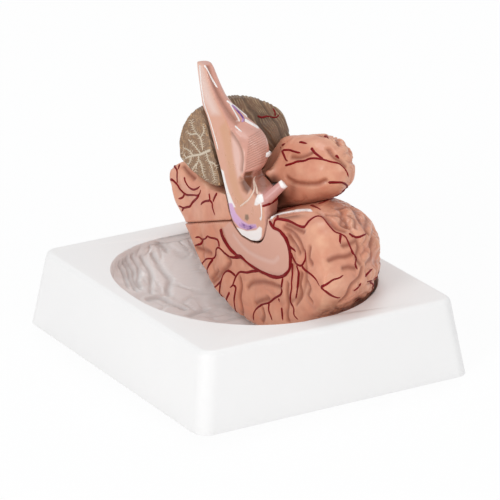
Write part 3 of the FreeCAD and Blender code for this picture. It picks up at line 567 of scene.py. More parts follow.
class Skin:
    """A piece's mesh while it is worked on: its points and normals, and the marks kept at each point."""

    def __init__(self, node, name, voxel=None, relax=2, refine=None):
        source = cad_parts[node]
        work = bpy.data.objects.new(name + "_work", source.data.copy())
        bpy.context.scene.collection.objects.link(work)
        weld = bmesh.new()
        weld.from_mesh(work.data)
        bmesh.ops.remove_doubles(weld, verts=weld.verts, dist=1e-6)
        if refine:
            refine(weld)
        weld.to_mesh(work.data)
        weld.free()
        if voxel:
            grain = work.modifiers.new("grain", "REMESH")
            grain.mode = "VOXEL"
            grain.voxel_size = voxel
            ease = work.modifiers.new("ease", "SMOOTH")
            ease.factor = 0.4
            ease.iterations = relax
        self.mesh = applied(work)
        self.mesh.name = name
        self.name = name
        self.mesh.materials.clear()
        self.read()

    def read(self):
        count = len(self.mesh.vertices)
        self.points = np.empty(count * 3)
        self.mesh.vertices.foreach_get("co", self.points)
        self.points = self.points.reshape(-1, 3)
        self.normals = np.empty(count * 3, np.float32)
        self.mesh.vertex_normals.foreach_get("vector", self.normals)
        self.normals = self.normals.reshape(-1, 3).astype(float)

    def push(self, height):
        """Moves each point along its normal, in metres."""
        self.points = self.points + self.normals * height[:, None]
        self.mesh.vertices.foreach_set("co", self.points.ravel())
        self.mesh.update()
        self.read()

    def cavity(self, width):
        """How far each point lies below the softened surface, in metres: the folds of the moulding."""
        ends = np.empty(len(self.mesh.edges) * 2, np.int64)
        self.mesh.edges.foreach_get("vertices", ends)
        a, b = ends[0::2], ends[1::2]
        count = len(self.points)
        share = 1 / np.maximum(1, np.bincount(ends, minlength=count))
        step = np.linalg.norm(self.points[a] - self.points[b], axis=1).mean()
        soft = self.points
        for _ in range(int(round(2 * (width / step) ** 2))):
            soft = np.stack([
                (np.bincount(a, soft[b, k], count) + np.bincount(b, soft[a, k], count)) * share
                for k in range(3)], 1)
        return np.einsum("ij,ij->i", soft - self.points, self.normals)

    def beside(self, node, reach):
        """1 against another piece of the moulding, falling to 0 at the given distance."""
        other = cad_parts[node].data
        tree = BVHTree.FromPolygons([v.co for v in other.vertices], [p.vertices for p in other.polygons])
        found = [tree.find_nearest(p, reach) for p in self.points]
        distance = np.array([reach if hit[3] is None else hit[3] for hit in found])
        nearest = np.array([p if hit[0] is None else hit[0] for p, hit in zip(self.points, found)])
        toward = nearest - self.points
        turned = np.einsum("ij,ij->i", toward, self.normals) / np.maximum(distance, 1e-6)
        return smoothstep(reach, 0.3 * reach, distance) * smoothstep(0.1, 0.6, turned)

    def tree(self):
        points = [tuple(p) for p in self.points]
        faces = [tuple(p.vertices) for p in self.mesh.polygons]
        return BVHTree.FromPolygons(points, faces)

    def near(self, lines, width):
        """1 on the lines, falling smoothly to 0 at the given distance."""
        samples = [place for line in lines for place, _ in line]
        if not samples:
            return np.zeros(len(self.points))
        tree = kdtree.KDTree(len(samples))
        for k, place in enumerate(samples):
            tree.insert(place, k)
        tree.balance()
        distance = np.array([tree.find(p)[2] for p in self.points])
        t = np.clip(1 - distance / width, 0, 1)
        return t * t * (3 - 2 * t)

    def facing(self, direction, low, high):
        return smoothstep(low, high, self.normals @ np.array(direction))

    def cut_face(self):
        """1 on the flat cut along the midline."""
        return self.facing((-1, 0, 0), 0.7, 0.95) * smoothstep(2.0, 1.0, self.points[:, 0] / MM)

    def within(self, outline, feather, flat=None):
        """1 inside an outline and 0 outside, over a soft edge; in pixels, or in the plane that is given."""
        flat = pixels_of(self.points) if flat is None else flat
        corners = np.array(outline, float)
        inside = np.zeros(len(flat), bool)
        distance = np.full(len(flat), 1e9)
        for a, b in zip(corners, np.roll(corners, -1, 0)):
            edge = b - a
            t = np.clip(((flat - a) @ edge) / (edge @ edge), 0, 1)
            distance = np.minimum(distance, np.linalg.norm(flat - a - t[:, None] * edge, axis=1))
            crosses = (a[1] > flat[:, 1]) != (b[1] > flat[:, 1])
            rise = edge[1] if abs(edge[1]) > 1e-9 else 1e-9
            inside ^= crosses & (flat[:, 0] < edge[0] * (flat[:, 1] - a[1]) / rise + a[0])
        return smoothstep(-feather, feather, np.where(inside, distance, -distance))

    def seen(self, outline, feather):
        """An outline in pixels, on the side that faces the camera."""
        return self.within(outline, feather) * self.facing(BACK, -0.05, 0.12)

    def mark(self, name, values):
        layer = self.mesh.attributes.new(name, "FLOAT", "POINT")
        layer.data.foreach_set("value", np.clip(values, 0, 1).astype(np.float32))

    def finish(self, body, node, slot, extras, materials, crease=None):
        """Joins the raised details to the skin, hangs the piece on its body and hides the part it stands for.
        """
        whole = bmesh.new()
        whole.from_mesh(self.mesh)
        for mesh, index in extras:
            start = len(whole.faces)
            whole.from_mesh(mesh)
            whole.faces.ensure_lookup_table()
            for face in whole.faces[start:]:
                face.material_index = index
        for face in whole.faces:
            face.smooth = True
        whole.to_mesh(self.mesh)
        whole.free()
        for material in materials:
            self.mesh.materials.append(material)
        piece = bpy.data.objects.new(self.name, self.mesh)
        bpy.context.scene.collection.objects.link(piece)
        if crease:
            self.mesh.set_sharp_from_angle(angle=crease)
            piece.modifiers.new("flat faces", "WEIGHTED_NORMAL").keep_sharp = True
        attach(piece, body)
        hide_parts(node)
        return piece


# Blender starts the offsets of its vector noise from the clock unless they are set
FOLD_SEED = 7


def folds(points, width, shift):
    """1 along the winding lines where a smooth wandering field changes sign, 0 on the crests between them."""
    noise.seed_set(FOLD_SEED)
    move = Vector((shift, shift * 0.37, shift * 0.71))
    values = np.empty(len(points))
    for k, p in enumerate(points):
        q = Vector(p) / width + move
        values[k] = noise.noise(q + noise.noise_vector(q * 0.6) * 0.8)
    return (1 - np.clip(np.abs(values) / 0.3, 0, 1)) ** 1.7


def wander(points, width, shift=0.0):
    """A smooth random field between about -1 and 1."""
    move = Vector((shift, shift, shift))
    return np.array([noise.noise(Vector(p) / width + move) for p in points])


TUBE_SIDES = 3
WAVER_LENGTH = 0.006


def raised(lines, radius, sink=0.35, taper=0.45, name="raised", waver=0.15):
    """Round strands that lie half sunk along lines of surface points."""
    curve = bpy.data.curves.new(name, "CURVE")
    curve.dimensions = "3D"
    curve.bevel_depth = radius
    curve.bevel_resolution = TUBE_SIDES - 2
    curve.use_fill_caps = True
    for line in lines:
        count = len(line)
        strand = curve.splines.new("POLY")
        strand.points.add(count - 1)
        for k, (place, normal) in enumerate(line):
            share = k / (count - 1)
            swell = 1 - (1 - taper) * share
            swell *= 1 + waver * noise.noise(place / WAVER_LENGTH)
            tip = min(1.0, (count - 1 - k + 0.6) / 3.0, (k + 1.2) / 2.0)
            strand.points[k].co = (*(place - normal * (sink * radius * swell)), 1)
            strand.points[k].radius = max(0.12, swell * tip)
    holder = bpy.data.objects.new(name, curve)
    bpy.context.scene.collection.objects.link(holder)
    mesh = applied(holder)
    mesh.materials.clear()
    return mesh


# Materials

class Paint:
    """A painted moulding: layers of colour by the marks on the mesh, soft blotches, and a fine grain."""

    def __init__(self, name):
        self.material = bpy.data.materials.new(name)
        self.material.use_nodes = True
        self.nodes = self.material.node_tree.nodes
        self.links = self.material.node_tree.links
        self.shader = self.nodes["Principled BSDF"]
        self.place = self.nodes.new("ShaderNodeTexCoord").outputs["Object"]

    def clouds(self, scale, detail=3.0, low=0.35, high=0.65):
        texture = self.nodes.new("ShaderNodeTexNoise")
        texture.inputs["Scale"].default_value = scale
        texture.inputs["Detail"].default_value = detail
        self.links.new(self.place, texture.inputs["Vector"])
        spread = self.nodes.new("ShaderNodeMapRange")
        spread.inputs["From Min"].default_value = low
        spread.inputs["From Max"].default_value = high
        self.links.new(texture.outputs["Fac"], spread.inputs["Value"])
        return spread.outputs["Result"]

    def cells(self, scale, low=0.0, high=0.12):
        """1 along the borders of small cells."""
        texture = self.nodes.new("ShaderNodeTexVoronoi")
        texture.feature = "DISTANCE_TO_EDGE"
        texture.inputs["Scale"].default_value = scale
        self.links.new(self.place, texture.inputs["Vector"])
        spread = self.nodes.new("ShaderNodeMapRange")
        spread.inputs["From Min"].default_value = low
        spread.inputs["From Max"].default_value = high
        spread.inputs["To Min"].default_value = 1.0
        spread.inputs["To Max"].default_value = 0.0
        self.links.new(texture.outputs["Distance"], spread.inputs["Value"])
        return spread.outputs["Result"]

    def mark(self, name):
        node = self.nodes.new("ShaderNodeAttribute")
        node.attribute_name = name
        return node.outputs["Fac"]

    def times(self, a, b):
        node = self.nodes.new("ShaderNodeMath")
        node.operation = "MULTIPLY"
        for socket, value in zip(node.inputs, (a, b)):
            if isinstance(value, float):
                socket.default_value = value
            else:
                self.links.new(value, socket)
        return node.outputs["Value"]

    def mix(self, below, above, share):
        """Lays one colour over another by a share from 0 to 1."""
        node = self.nodes.new("ShaderNodeMix")
        node.data_type = "RGBA"
        self.links.new(share, node.inputs["Factor"])
        for socket, value in ((node.inputs[6], below), (node.inputs[7], above)):
            if isinstance(value, bpy.types.NodeSocket):
                self.links.new(value, socket)
            else:
                socket.default_value = value
        return node.outputs[2]

    def finish(self, colour, rough_low, rough_high, grain, depth, coat=0.0, sheen=0.35):
        """Sets the colour, a roughness that varies, and the bump of the fine grain."""
        self.shader.inputs["Specular IOR Level"].default_value = sheen
        self.links.new(colour, self.shader.inputs["Base Color"])
        gloss = self.nodes.new("ShaderNodeMapRange")
        gloss.inputs["To Min"].default_value = rough_low
        gloss.inputs["To Max"].default_value = rough_high
        self.links.new(self.clouds(grain * 0.12), gloss.inputs["Value"])
        self.links.new(gloss.outputs["Result"], self.shader.inputs["Roughness"])
        bump = self.nodes.new("ShaderNodeBump")
        bump.inputs["Strength"].default_value = 0.35
        bump.inputs["Distance"].default_value = depth
        self.links.new(self.clouds(grain, 2.0, 0.0, 1.0), bump.inputs["Height"])
        self.links.new(bump.outputs["Normal"], self.shader.inputs["Normal"])
        self.shader.inputs["Coat Weight"].default_value = coat
        self.shader.inputs["Coat Roughness"].default_value = 0.12
        return self.material


def plain_paint(name, colour, second, coat=0.3, low=0.28, high=0.42):
    paint = Paint(name)
    tone = paint.mix(colour, second, paint.clouds(140.0))
    return paint.finish(tone, low, high, 900.0, 0.0001, coat, 0.2)


def dimmed(colour, share):
    return [c * share for c in colour[:3]] + [1.0]


def artery_paint():
    return plain_paint("artery_paint", colours().artery[:], dimmed(colours().artery, 0.75), 0.0, 0.45, 0.6)


def nerve_paint(name="nerve_paint"):
    return plain_paint(name, colours().nerve_white[:], dimmed(colours().nerve_white, 0.86), 0.4)


def cortex_paint(name):
    c = colours()
    paint = Paint(name)
    tone = paint.mix(c.cortex[:], c.cortex_light[:], paint.clouds(60.0))
    tone = paint.mix(tone, dimmed(c.cortex, 0.86), paint.times(paint.clouds(170.0, 4.0), 0.4))
    tone = paint.mix(tone, c.callosum[:], paint.mark("callosum"))
    tone = paint.mix(tone, c.nerve_white[:], paint.times(paint.mark("pale"), 0.35))
    # Lighter colour on the convex crests: rubbed paint and a painted highlight
    rubbed_and_highlit = paint.times(paint.mark("crest"), paint.clouds(120.0, 3.0, 0.35, 0.6))
    tone = paint.mix(tone, c.cortex_crest_highlight[:], rubbed_and_highlit)
    # Dark wash and painted shade in the folds and creases
    tone = paint.mix(tone, c.cortex_shade[:], paint.times(paint.mark("hollow"), 0.9))
    tone = paint.mix(tone, dimmed(c.cortex_shade, 0.3), paint.times(paint.mark("shade"), 0.9))
    return paint.finish(tone, 0.34, 0.48, 700.0, 0.00012, 0.12)


# The lobes

def seam_distance(points):
    """Distance in mm from the plane between the lower and the upper lobes."""
    level = SEAM_LEVEL - SEAM_FALL_BACK * points[:, 1] / MM + SEAM_RISE_OUT * points[:, 0] / MM
    return np.abs(points[:, 2] / MM - level) / math.hypot(1, SEAM_FALL_BACK, SEAM_RISE_OUT)


SEAM_NORMAL = Vector((-SEAM_RISE_OUT, SEAM_FALL_BACK, 1)).normalized()
FOLD_SHOWS = (0.00008, 0.0006)  # depths at which a fold begins to darken, and is fully dark
SULCUS_WIDTH = 0.0031
CREASE_WIDTH = 0.0034
RIM_WIDTH = 0.0022
RIM_DEPTH = 0.0006
PALE_LINE_DEPTH = 0.0002
TRACT_RADIUS = 0.00105
BULB_RADIUS = 0.0017
MAIN_ARTERY_SHARE = 1.6
SHADE_REACH = 0.0075
FOLD_WIDTH = 0.0032
FOLD_LIMIT = 0.0014
TEMPORAL_GAIN = 1.5


def lobe(node, name, soft_sulci, sharp_sulci, smooth, shift, gain=1.0):
    """Sharpens the folds of a lobe, adds the small creases, and returns its skin and the depths."""
    s = sizes()
    skin = Skin(node, name, s.lobe_voxel * (1.0))
    tree = skin.tree()
    midline = skin.facing((-1, 0, 0), 0.55, 0.9) * smoothstep(4.0, 2.5, skin.points[:, 0] / MM)
    clear = smoothstep(0.6, 4.0, seam_distance(skin.points))
    outer = (1 - midline) * clear

    cavity = skin.cavity(FOLD_WIDTH) * clear
    fold = smoothstep(*FOLD_SHOWS, cavity)
    soft = skin.near(on_views(tree, soft_sulci), SULCUS_WIDTH) * clear
    sharp = skin.near(on_views(tree, sharp_sulci), CREASE_WIDTH) * clear
    creases = folds(skin.points, s.gyrus_width, shift)
    creases = np.maximum(creases, 0.8 * folds(skin.points, s.gyrus_width * 0.6, shift + 9))
    creases *= outer * (1 - 0.7 * fold) * (1 - 0.93 * skin.seen(smooth, 8.0))
    faint = folds(skin.points, s.gyrus_width * 1.6, shift + 4) * midline * clear

    depth = s.sulcus_gain * np.clip(cavity, 0, FOLD_LIMIT)
    depth += s.crease_depth * gain * np.maximum(creases, 1.3 * sharp)
    depth = np.maximum(depth, s.midline_depth * np.maximum(soft, 0.35 * faint))
    # Darkening in the folds and creases: dark wash and painted shade
    dark = np.maximum(np.maximum(fold, 0.45 * creases), np.maximum(0.95 * soft, 0.9 * sharp))
    skin.hollow = np.clip(dark, 0, 1) ** 1.4
    edge = 1 - np.maximum(skin.facing(SEAM_NORMAL, 0.8, 0.97), skin.facing(-SEAM_NORMAL, 0.8, 0.97))
    seam = smoothstep(1.4 + 2.4 * (1 - midline), 0.3, seam_distance(skin.points)) * edge
    skin.shade = np.maximum(0.75 * seam, skin.beside("brain_stem", SHADE_REACH))
    skin.midline = midline
    # The convex crests of the outer folds get the lighter crest colour: rubbed paint and a painted highlight
    skin.mark("crest", 0.3 * smoothstep(-0.0002, -0.0008, cavity) * outer)
    return skin, depth


def lobe_arteries(skin, view_paths, side_paths, thick_paths=()):
    tree = skin.tree()
    s = sizes()
    lines = on_views(tree, view_paths)
    lines += [run for path in side_paths for run in on_side(tree, path)]
    extras = [(raised(lines, s.artery_radius, 0.45, 0.6, "arteries"), 1)]
    thick = on_views(tree, thick_paths)
    if thick:
        extras.append((raised(thick, s.artery_radius * MAIN_ARTERY_SHARE, 0.45, 0.75, "main_artery"), 1))
    return tree, extras


class BRAIN_OT_frontal_parietal_lobe(bpy.types.Operator):
    """The frontal and parietal lobe, which lies in the tray"""
    bl_idname = "brain.frontal_parietal_lobe"
    bl_label = "Frontal and parietal lobe"

    def execute(self, context):
        skin, depth = lobe(
            "frontal_parietal_lobe", "frontal_parietal_lobe_painted", MEDIAL_SULCI, FRONTAL_SULCI,
            FRONTAL_SMOOTH, 3.1)
        flat = skin.points[:, 1:] / MM
        band = skin.within(CALLOSUM_OUTER + CALLOSUM_INNER, 0.5, flat) * skin.midline
        rim_line = smooth_line(CALLOSUM_OUTER, 0.5)
        tree = skin.tree()
        rim = skin.near(on_side(tree, rim_line, -1), RIM_WIDTH) * skin.midline
        pale = skin.near(on_side(tree, CALLOSUM_LINE, -1), RIM_WIDTH) * skin.midline
        depth = depth * (1 - band) + RIM_DEPTH * rim + PALE_LINE_DEPTH * pale
        skin.push(-depth)
        skin.mark("callosum", band)
        skin.mark("pale", np.maximum(0.5 * pale, 0.35 * rim * band))
        # Dark wash and painted shade in the folds and along the groove round the corpus callosum
        skin.mark("hollow", np.maximum(skin.hollow * (1 - band), 0.3 * rim))
        skin.mark("shade", skin.shade * (1 - skin.midline))
        tree, extras = lobe_arteries(skin, MEDIAL_ARTERIES, SIDE_ARTERIES_LOWER, [CALLOSAL_ARTERY])
        tract = on_view(tree, OLFACTORY_TRACT)
        extras.append((raised(tract, TRACT_RADIUS, 0.1, 0.9, "olfactory_tract", 0.05), 2))
        bulb = on_view(tree, OLFACTORY_TRACT[-4:])
        extras.append((raised(bulb, BULB_RADIUS, 0.2, 0.9, "olfactory_bulb", 0.05), 2))
        skin.finish(
            "base", "frontal_parietal_lobe", "painted_cortex", extras,
            [cortex_paint("cortex_paint"), artery_paint(), nerve_paint()])
        return {"FINISHED"}


class BRAIN_OT_temporal_occipital_lobe(bpy.types.Operator):
    """The temporal and occipital lobe, which lifts off along the pegs"""
    bl_idname = "brain.temporal_occipital_lobe"
    bl_label = "Temporal and occipital lobe"

    def execute(self, context):
        skin, depth = lobe(
            "temporal_occipital_lobe", "temporal_occipital_lobe_painted", TEMPORAL_SULCI, [],
            TEMPORAL_SMOOTH, 5.7, TEMPORAL_GAIN)
        skin.push(-depth)
        nothing = np.zeros(len(skin.points))
        skin.mark("callosum", nothing)
        skin.mark("pale", nothing)
        skin.mark("hollow", skin.hollow)
        skin.mark("shade", skin.shade * (1 - skin.midline))
        _, extras = lobe_arteries(skin, TEMPORAL_ARTERIES, SIDE_ARTERIES_UPPER)
        skin.finish(
            "lower_lobes", "temporal_occipital_lobe", "painted_cortex", extras,
            [cortex_paint("upper_cortex_paint"), artery_paint()])
        return {"FINISHED"}


# The stem

# Marks on the stem and the colour that each one lays on, in order
STEM_LAYERS = [
    ("cut", "stem_tan"), ("optic", "optic"), ("light", "stem_light"), ("band", "stem_amber"),
    ("pale", "nerve_white"), ("brown", "stem_brown_and_shade"), ("white", "nerve_white"), ("lilac", "lilac"),
    ("violet", "violet"), ("olive", "cerebellum"),
]
GROOVE_WIDTH = 0.0026
GROOVE_DEPTH = 0.0011
PONS_LINE_WIDTH = 0.0007
PONS_LINE_DEPTH = 0.0004
PLEXUS_WIDTH = 0.0013


def stem_paint():
    c = colours()
    paint = Paint("stem_paint")
    tone = paint.mix(c.stem_pink[:], dimmed(c.stem_pink, 0.88), paint.clouds(110.0))
    for name, colour in STEM_LAYERS:
        tone = paint.mix(tone, getattr(c, colour)[:], paint.mark(name))
    return paint.finish(tone, 0.26, 0.4, 800.0, 0.0001, 0.35)


class BRAIN_OT_brain_stem(bpy.types.Operator):
    """The brain stem with its nerves, which draws out to the side"""
    bl_idname = "brain.brain_stem"
    bl_label = "Brain stem"

    def execute(self, context):
        s = sizes()
        skin = Skin("brain_stem", "brain_stem_painted", s.fine_voxel * (1.0), 3)
        tree = skin.tree()
        grooves = skin.near(on_views(tree, STEM_SULCI), GROOVE_WIDTH)
        share = np.linspace(0, 1, PONS_LINE_COUNT)[:, None]
        starts = np.array(PONS_LINES_FROM[0]) * (1 - share) + np.array(PONS_LINES_FROM[1]) * share
        ends = np.array(PONS_LINES_TO[0]) * (1 - share) + np.array(PONS_LINES_TO[1]) * share
        stripes = skin.near(on_views(tree, [[a, b] for a, b in zip(starts, ends)]), PONS_LINE_WIDTH)
        hollow = skin.seen(STEM_SHADE_FOLD, 2.0)
        skin.push(-GROOVE_DEPTH * np.maximum(grooves, hollow) - PONS_LINE_DEPTH * stripes)
        cut = skin.cut_face()
        # Brown on the peduncle face, and painted shade in the fold, the grooves and between the pons lines
        brown = np.maximum(hollow, 0.6 * skin.seen(STEM_BROWN_FACE, 2.5))
        brown = np.maximum(brown, 0.45 * skin.seen(STEM_GROOVE_SHADE, 2.0))
        brown = np.maximum(brown, np.maximum(0.6 * grooves, 0.5 * stripes))
        skin.mark("cut", np.maximum(0.9 * skin.seen(STEM_CUT_EDGE, 1.5), cut))
        skin.mark("light", 0.95 * skin.seen(STEM_PONS_LIGHT, 2.0))
        skin.mark("optic", 0.7 * skin.seen(OPTIC_TUBE, 1.5))
        skin.mark("band", 0.55 * skin.seen(STEM_TAN_BAND, 2.5))
        skin.mark("pale", 0.4 * skin.seen(STEM_MEDULLA_PALE, 4.5))
        skin.mark("brown", brown)
        white = np.maximum(skin.seen(STEM_WHITE_STRIP, 0.6), skin.seen(STEM_FORNIX, 0.6))
        white = np.maximum(white, np.maximum(skin.seen(STEM_WHITE_PATCH, 0.7), skin.seen(OPTIC_CAP, 0.6)))
        skin.mark("white", white)
        skin.mark("lilac", skin.seen(STEM_LILAC, 0.9))
        tree = skin.tree()
        skin.mark("violet", 0.5 * skin.near(on_views(tree, STEM_PURPLE), PLEXUS_WIDTH))
        skin.mark("olive", skin.seen(STEM_OLIVE_DOT, 0.8))

        def strands(paths, radius, name, taper=0.8, sink=0.4):
            return raised(on_views(tree, paths), radius, sink, taper, name, 0.1)

        extras = [
            (strands(STEM_WHITE_LINES, 0.0007, "white_lines"), 1),
            (strands([STEM_WHITE_RIBBON], 0.0011, "white_ribbon", 1.0), 1),
            (strands([STEM_NERVE_BAND], 0.0017, "nerve_band", 1.0), 1),
            (strands([TRIGEMINAL_ROOT], 0.0017, "trigeminal_root", 0.9, 0.0), 1),
            (strands([STEM_CUT_RIM], 0.0007, "cut_rim"), 1),
            (strands([STEM_TAN_ARC, STEM_PALE_ARC], 0.0006, "tract_lines", 1.0), 2),
            (strands([STEM_WHITE_KNOB], 0.0012, "white_knob", 1.0), 1),
            (strands([STEM_VIOLET_LINE], 0.0012, "violet_line"), 3),
            (strands(STEM_PURPLE, 0.00065, "plexus"), 3),
            (strands([OPTIC_ARTERY], 0.0009, "basal_artery", 0.9), 4),
        ]
        c = colours()
        skin.finish("stem", "brain_stem", "painted_stem", extras, [
            stem_paint(), nerve_paint("stem_nerve_paint"),
            plain_paint("tract_paint", c.tract[:], dimmed(c.tract, 0.85)),
            plain_paint("plexus_paint", c.lilac[:], c.violet[:]),
            artery_paint(),
        ])
        return {"FINISHED"}


# The cerebellum

def cerebellum_paint():
    c = colours()
    paint = Paint("cerebellum_paint")
    tone = paint.mix(c.cerebellum[:], dimmed(c.cerebellum, 0.6), paint.clouds(90.0))
    tone = paint.mix(tone, c.cerebellum_cut[:], paint.mark("cut"))
    # Painted highlight along the crests of the fine folds
    crests = paint.times(paint.mark("crest"), paint.clouds(240.0, 2.0, 0.4, 0.7))
    tone = paint.mix(tone, c.cerebellum_crest_highlight[:], crests)
    leaves = paint.times(paint.cells(620.0, 0.0, 0.16), paint.clouds(330.0, 2.0, 0.42, 0.6))
    tone = paint.mix(tone, c.leaves[:], paint.times(leaves, paint.mark("leaf")))
    # Painted shade in the deep grooves of the folds and beside the stem
    tone = paint.mix(tone, dimmed(c.cerebellum, 0.3), paint.mark("deep"))
    return paint.finish(tone, 0.34, 0.5, 900.0, 0.00012, 0.15)


FOLIA_DIRECTION = (0.88, -0.2, 0.42)
FOLIA_WAVER = 0.0034
FOLIA_IN_A_LEAF = 6
LEAF_GROOVE_DEPTH = 0.0005
CUT_LEAF_SIZE = 0.0022
CUT_LEAF_DEPTH = 0.00022
STEM_SHADE_REACH = 0.0045
TWIG_STEP = 2.2
TWIG_REACH = (2.0, 4.2)
TWIG_RADIUS = 0.00032


def twigs(tree, paths, seed):
    """Short side branches on both sides of the branches, shorter towards the tips."""
    chance = random.Random(seed)
    out = []
    for path in paths:
        line = smooth_line(path, TWIG_STEP)
        for k in range(1, len(line)):
            along = line[k] - line[k - 1]
            along = along / max(1e-6, np.linalg.norm(along))
            across = np.array([-along[1], along[0]])
            for side in (-1, 1):
                reach = chance.uniform(*TWIG_REACH)
                tip = line[k] + (0.6 * along + side * across) * reach
                bend = line[k] + (0.75 * along + side * 0.5 * across) * reach * 0.5
                out += on_view(tree, [tuple(line[k]), tuple(bend), tuple(tip)])
    return out


class BRAIN_OT_cerebellum(bpy.types.Operator):
    """The half cerebellum with its fine folds and the tree on its cut face"""
    bl_idname = "brain.cerebellum"
    bl_label = "Cerebellum"

    def execute(self, context):
        s = sizes()
        skin = Skin("cerebellum", "cerebellum_painted", s.fine_voxel * (1.0), 3)
        ring = skin.points @ np.array(FOLIA_DIRECTION) + wander(skin.points, 0.011) * FOLIA_WAVER
        cut = skin.cut_face()
        outer = 1 - cut
        wave = 0.5 + 0.5 * np.cos(2 * math.pi * ring / s.folia_pitch)
        deep = (0.5 + 0.5 * np.cos(2 * math.pi * ring / (s.folia_pitch * FOLIA_IN_A_LEAF))) ** 16 * outer
        leaf = (0.5 + 0.5 * wander(skin.points, CUT_LEAF_SIZE)) * cut
        skin.push(-s.folia_depth * (1 - wave) * outer - LEAF_GROOVE_DEPTH * deep - CUT_LEAF_DEPTH * leaf)
        # Painted highlight on the crests, stronger on the faces that look up
        skin.mark("crest", wave ** 3 * outer * (0.25 + 0.75 * skin.facing((0, 0, 1), 0.1, 0.8)))
        skin.mark("cut", cut)
        edge = 1 - skin.within(CEREBELLUM_CUT, 9.0)
        skin.mark("leaf", cut * (0.45 + 0.55 * np.clip(edge * 2, 0, 1)))
        # Painted shade in the deep grooves and beside the stem
        skin.mark("deep", np.maximum(0.7 * deep, 0.9 * skin.beside("brain_stem", STEM_SHADE_REACH)))
        tree = skin.tree()

        def strands(paths, radius, name, taper=0.6, sink=0.35):
            return raised(on_views(tree, paths), radius, sink, taper, name, 0.15)

        side_twigs = twigs(tree, ARBOR_BRANCHES + [ARBOR_TRUNK], context.scene.brain_stage.seed)
        extras = [
            (strands(CEREBELLUM_ARTERIES, 0.0008, "cerebellum_arteries"), 1),
            (strands([ARBOR_TRUNK], 0.0010, "arbor_trunk"), 2),
            (strands(ARBOR_BRANCHES, 0.00065, "arbor_branches", 0.5), 2),
            (raised(side_twigs, TWIG_RADIUS, 0.3, 0.5, "arbor_twigs", 0.0), 2),
        ]
        c = colours()
        skin.finish("cerebellum_half", "cerebellum", "painted_cerebellum", extras, [
            cerebellum_paint(), artery_paint(),
            plain_paint("arbor_paint", c.arbor[:], dimmed(c.arbor, 0.8), 0.2),
        ])
        return {"FINISHED"}


# The tray and the pegs

TRAY_RIM = 0.0457
HOLLOW_HALF = (0.080, 0.092)
HOLLOW_EDGE = 0.0012
TRAY_CREASE = math.radians(30)
RIM_FADE = 0.004
HOLLOW_FOLD_WIDTH = 0.003
HOLLOW_GROOVE_WIDTH = 0.0034
HOLLOW_FOLD_SHOWS = (0.00005, 0.0006)


def in_hollow(place, normal):
    """Whether a place of the tray's skin belongs to the hollow."""
    inside = abs(place.x) < HOLLOW_HALF[0] and abs(place.y) < HOLLOW_HALF[1] and place.z < TRAY_RIM
    return inside and normal.z > 0.03


def refined_hollow(mesh):
    """Splits the faces of the hollow, so that its ridges can be worked in."""
    faces = [f for f in mesh.faces if in_hollow(f.calc_center_median(), f.normal)]
    edges = {edge for face in faces for edge in face.edges if edge.calc_length() > HOLLOW_EDGE}
    bmesh.ops.subdivide_edges(mesh, edges=list(edges), cuts=2, use_grid_fill=True)
    bmesh.ops.triangulate(mesh, faces=[f for f in mesh.faces if len(f.verts) > 4])


class BRAIN_OT_tray_and_pegs(bpy.types.Operator):
    """The moulded tray with the ridges of its hollow, and the steel of the pegs"""
    bl_idname = "brain.tray_and_pegs"
    bl_label = "Tray and pegs"

    def execute(self, context):
        c = colours()
        s = sizes()
        skin = Skin("base_tray", "base_tray_moulded", refine=refined_hollow)
        spots = zip(skin.points, skin.normals)
        hollow = np.array([in_hollow(Vector(p), Vector(n)) for p, n in spots], float)
        hollow *= smoothstep(TRAY_RIM, TRAY_RIM - RIM_FADE, skin.points[:, 2])
        cavity = skin.cavity(HOLLOW_FOLD_WIDTH) * hollow
        tree = skin.tree()
        traced = skin.near(on_views(tree, HOLLOW_GROOVES), HOLLOW_GROOVE_WIDTH) * hollow
        waves = folds(skin.points, s.ridge_width, 2.3) * hollow
        sunk = np.clip(cavity / HOLLOW_FOLD_SHOWS[1], 0, 1)
        skin.push(-s.ridge_depth * np.maximum(traced, np.maximum(0.6 * waves, sunk)))
        # Painted shade in the grooves and folds of the hollow
        fold = 0.6 * smoothstep(*HOLLOW_FOLD_SHOWS, cavity)
        skin.mark("groove", np.maximum(traced, np.maximum(fold, 0.3 * waves)))
        plastic = Paint("white_plastic")
        tone = plastic.mix(c.tray[:], dimmed(c.tray, 0.985), plastic.clouds(14.0, 2.0, 0.2, 0.8))
        # Painted shade in the grooves of the hollow
        tone = plastic.mix(tone, dimmed(c.tray, 0.62), plastic.times(plastic.mark("groove"), 0.6))
        plastic.finish(tone, 0.34, 0.42, 500.0, 0.00001, 0.0)
        skin.finish("base", "base_tray", "white_plastic", [], [plastic.material], TRAY_CREASE)
        steel = Paint("peg_steel")
        tone = steel.mix(c.peg[:], dimmed(c.peg, 0.8), steel.clouds(300.0))
        steel.finish(tone, 0.22, 0.36, 1500.0, 0.00003)
        steel.shader.inputs["Metallic"].default_value = 1.0
        for node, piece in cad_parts.items():
            if "_peg_" in node:
                piece.data.materials.clear()
                piece.data.materials.append(steel.material)
        return {"FINISHED"}


# The stage

def soft_lamp(name, place, aim, width, power):
    data = bpy.data.lights.new(name, "AREA")
    data.energy = power
    data.size = width
    lamp = bpy.data.objects.new(name, data)
    bpy.context.scene.collection.objects.link(lamp)
    lamp.location = place
    lamp.rotation_mode = "QUATERNION"
    lamp.rotation_quaternion = (Vector(aim) - Vector(place)).to_track_quat("-Z", "Y")
    return lamp


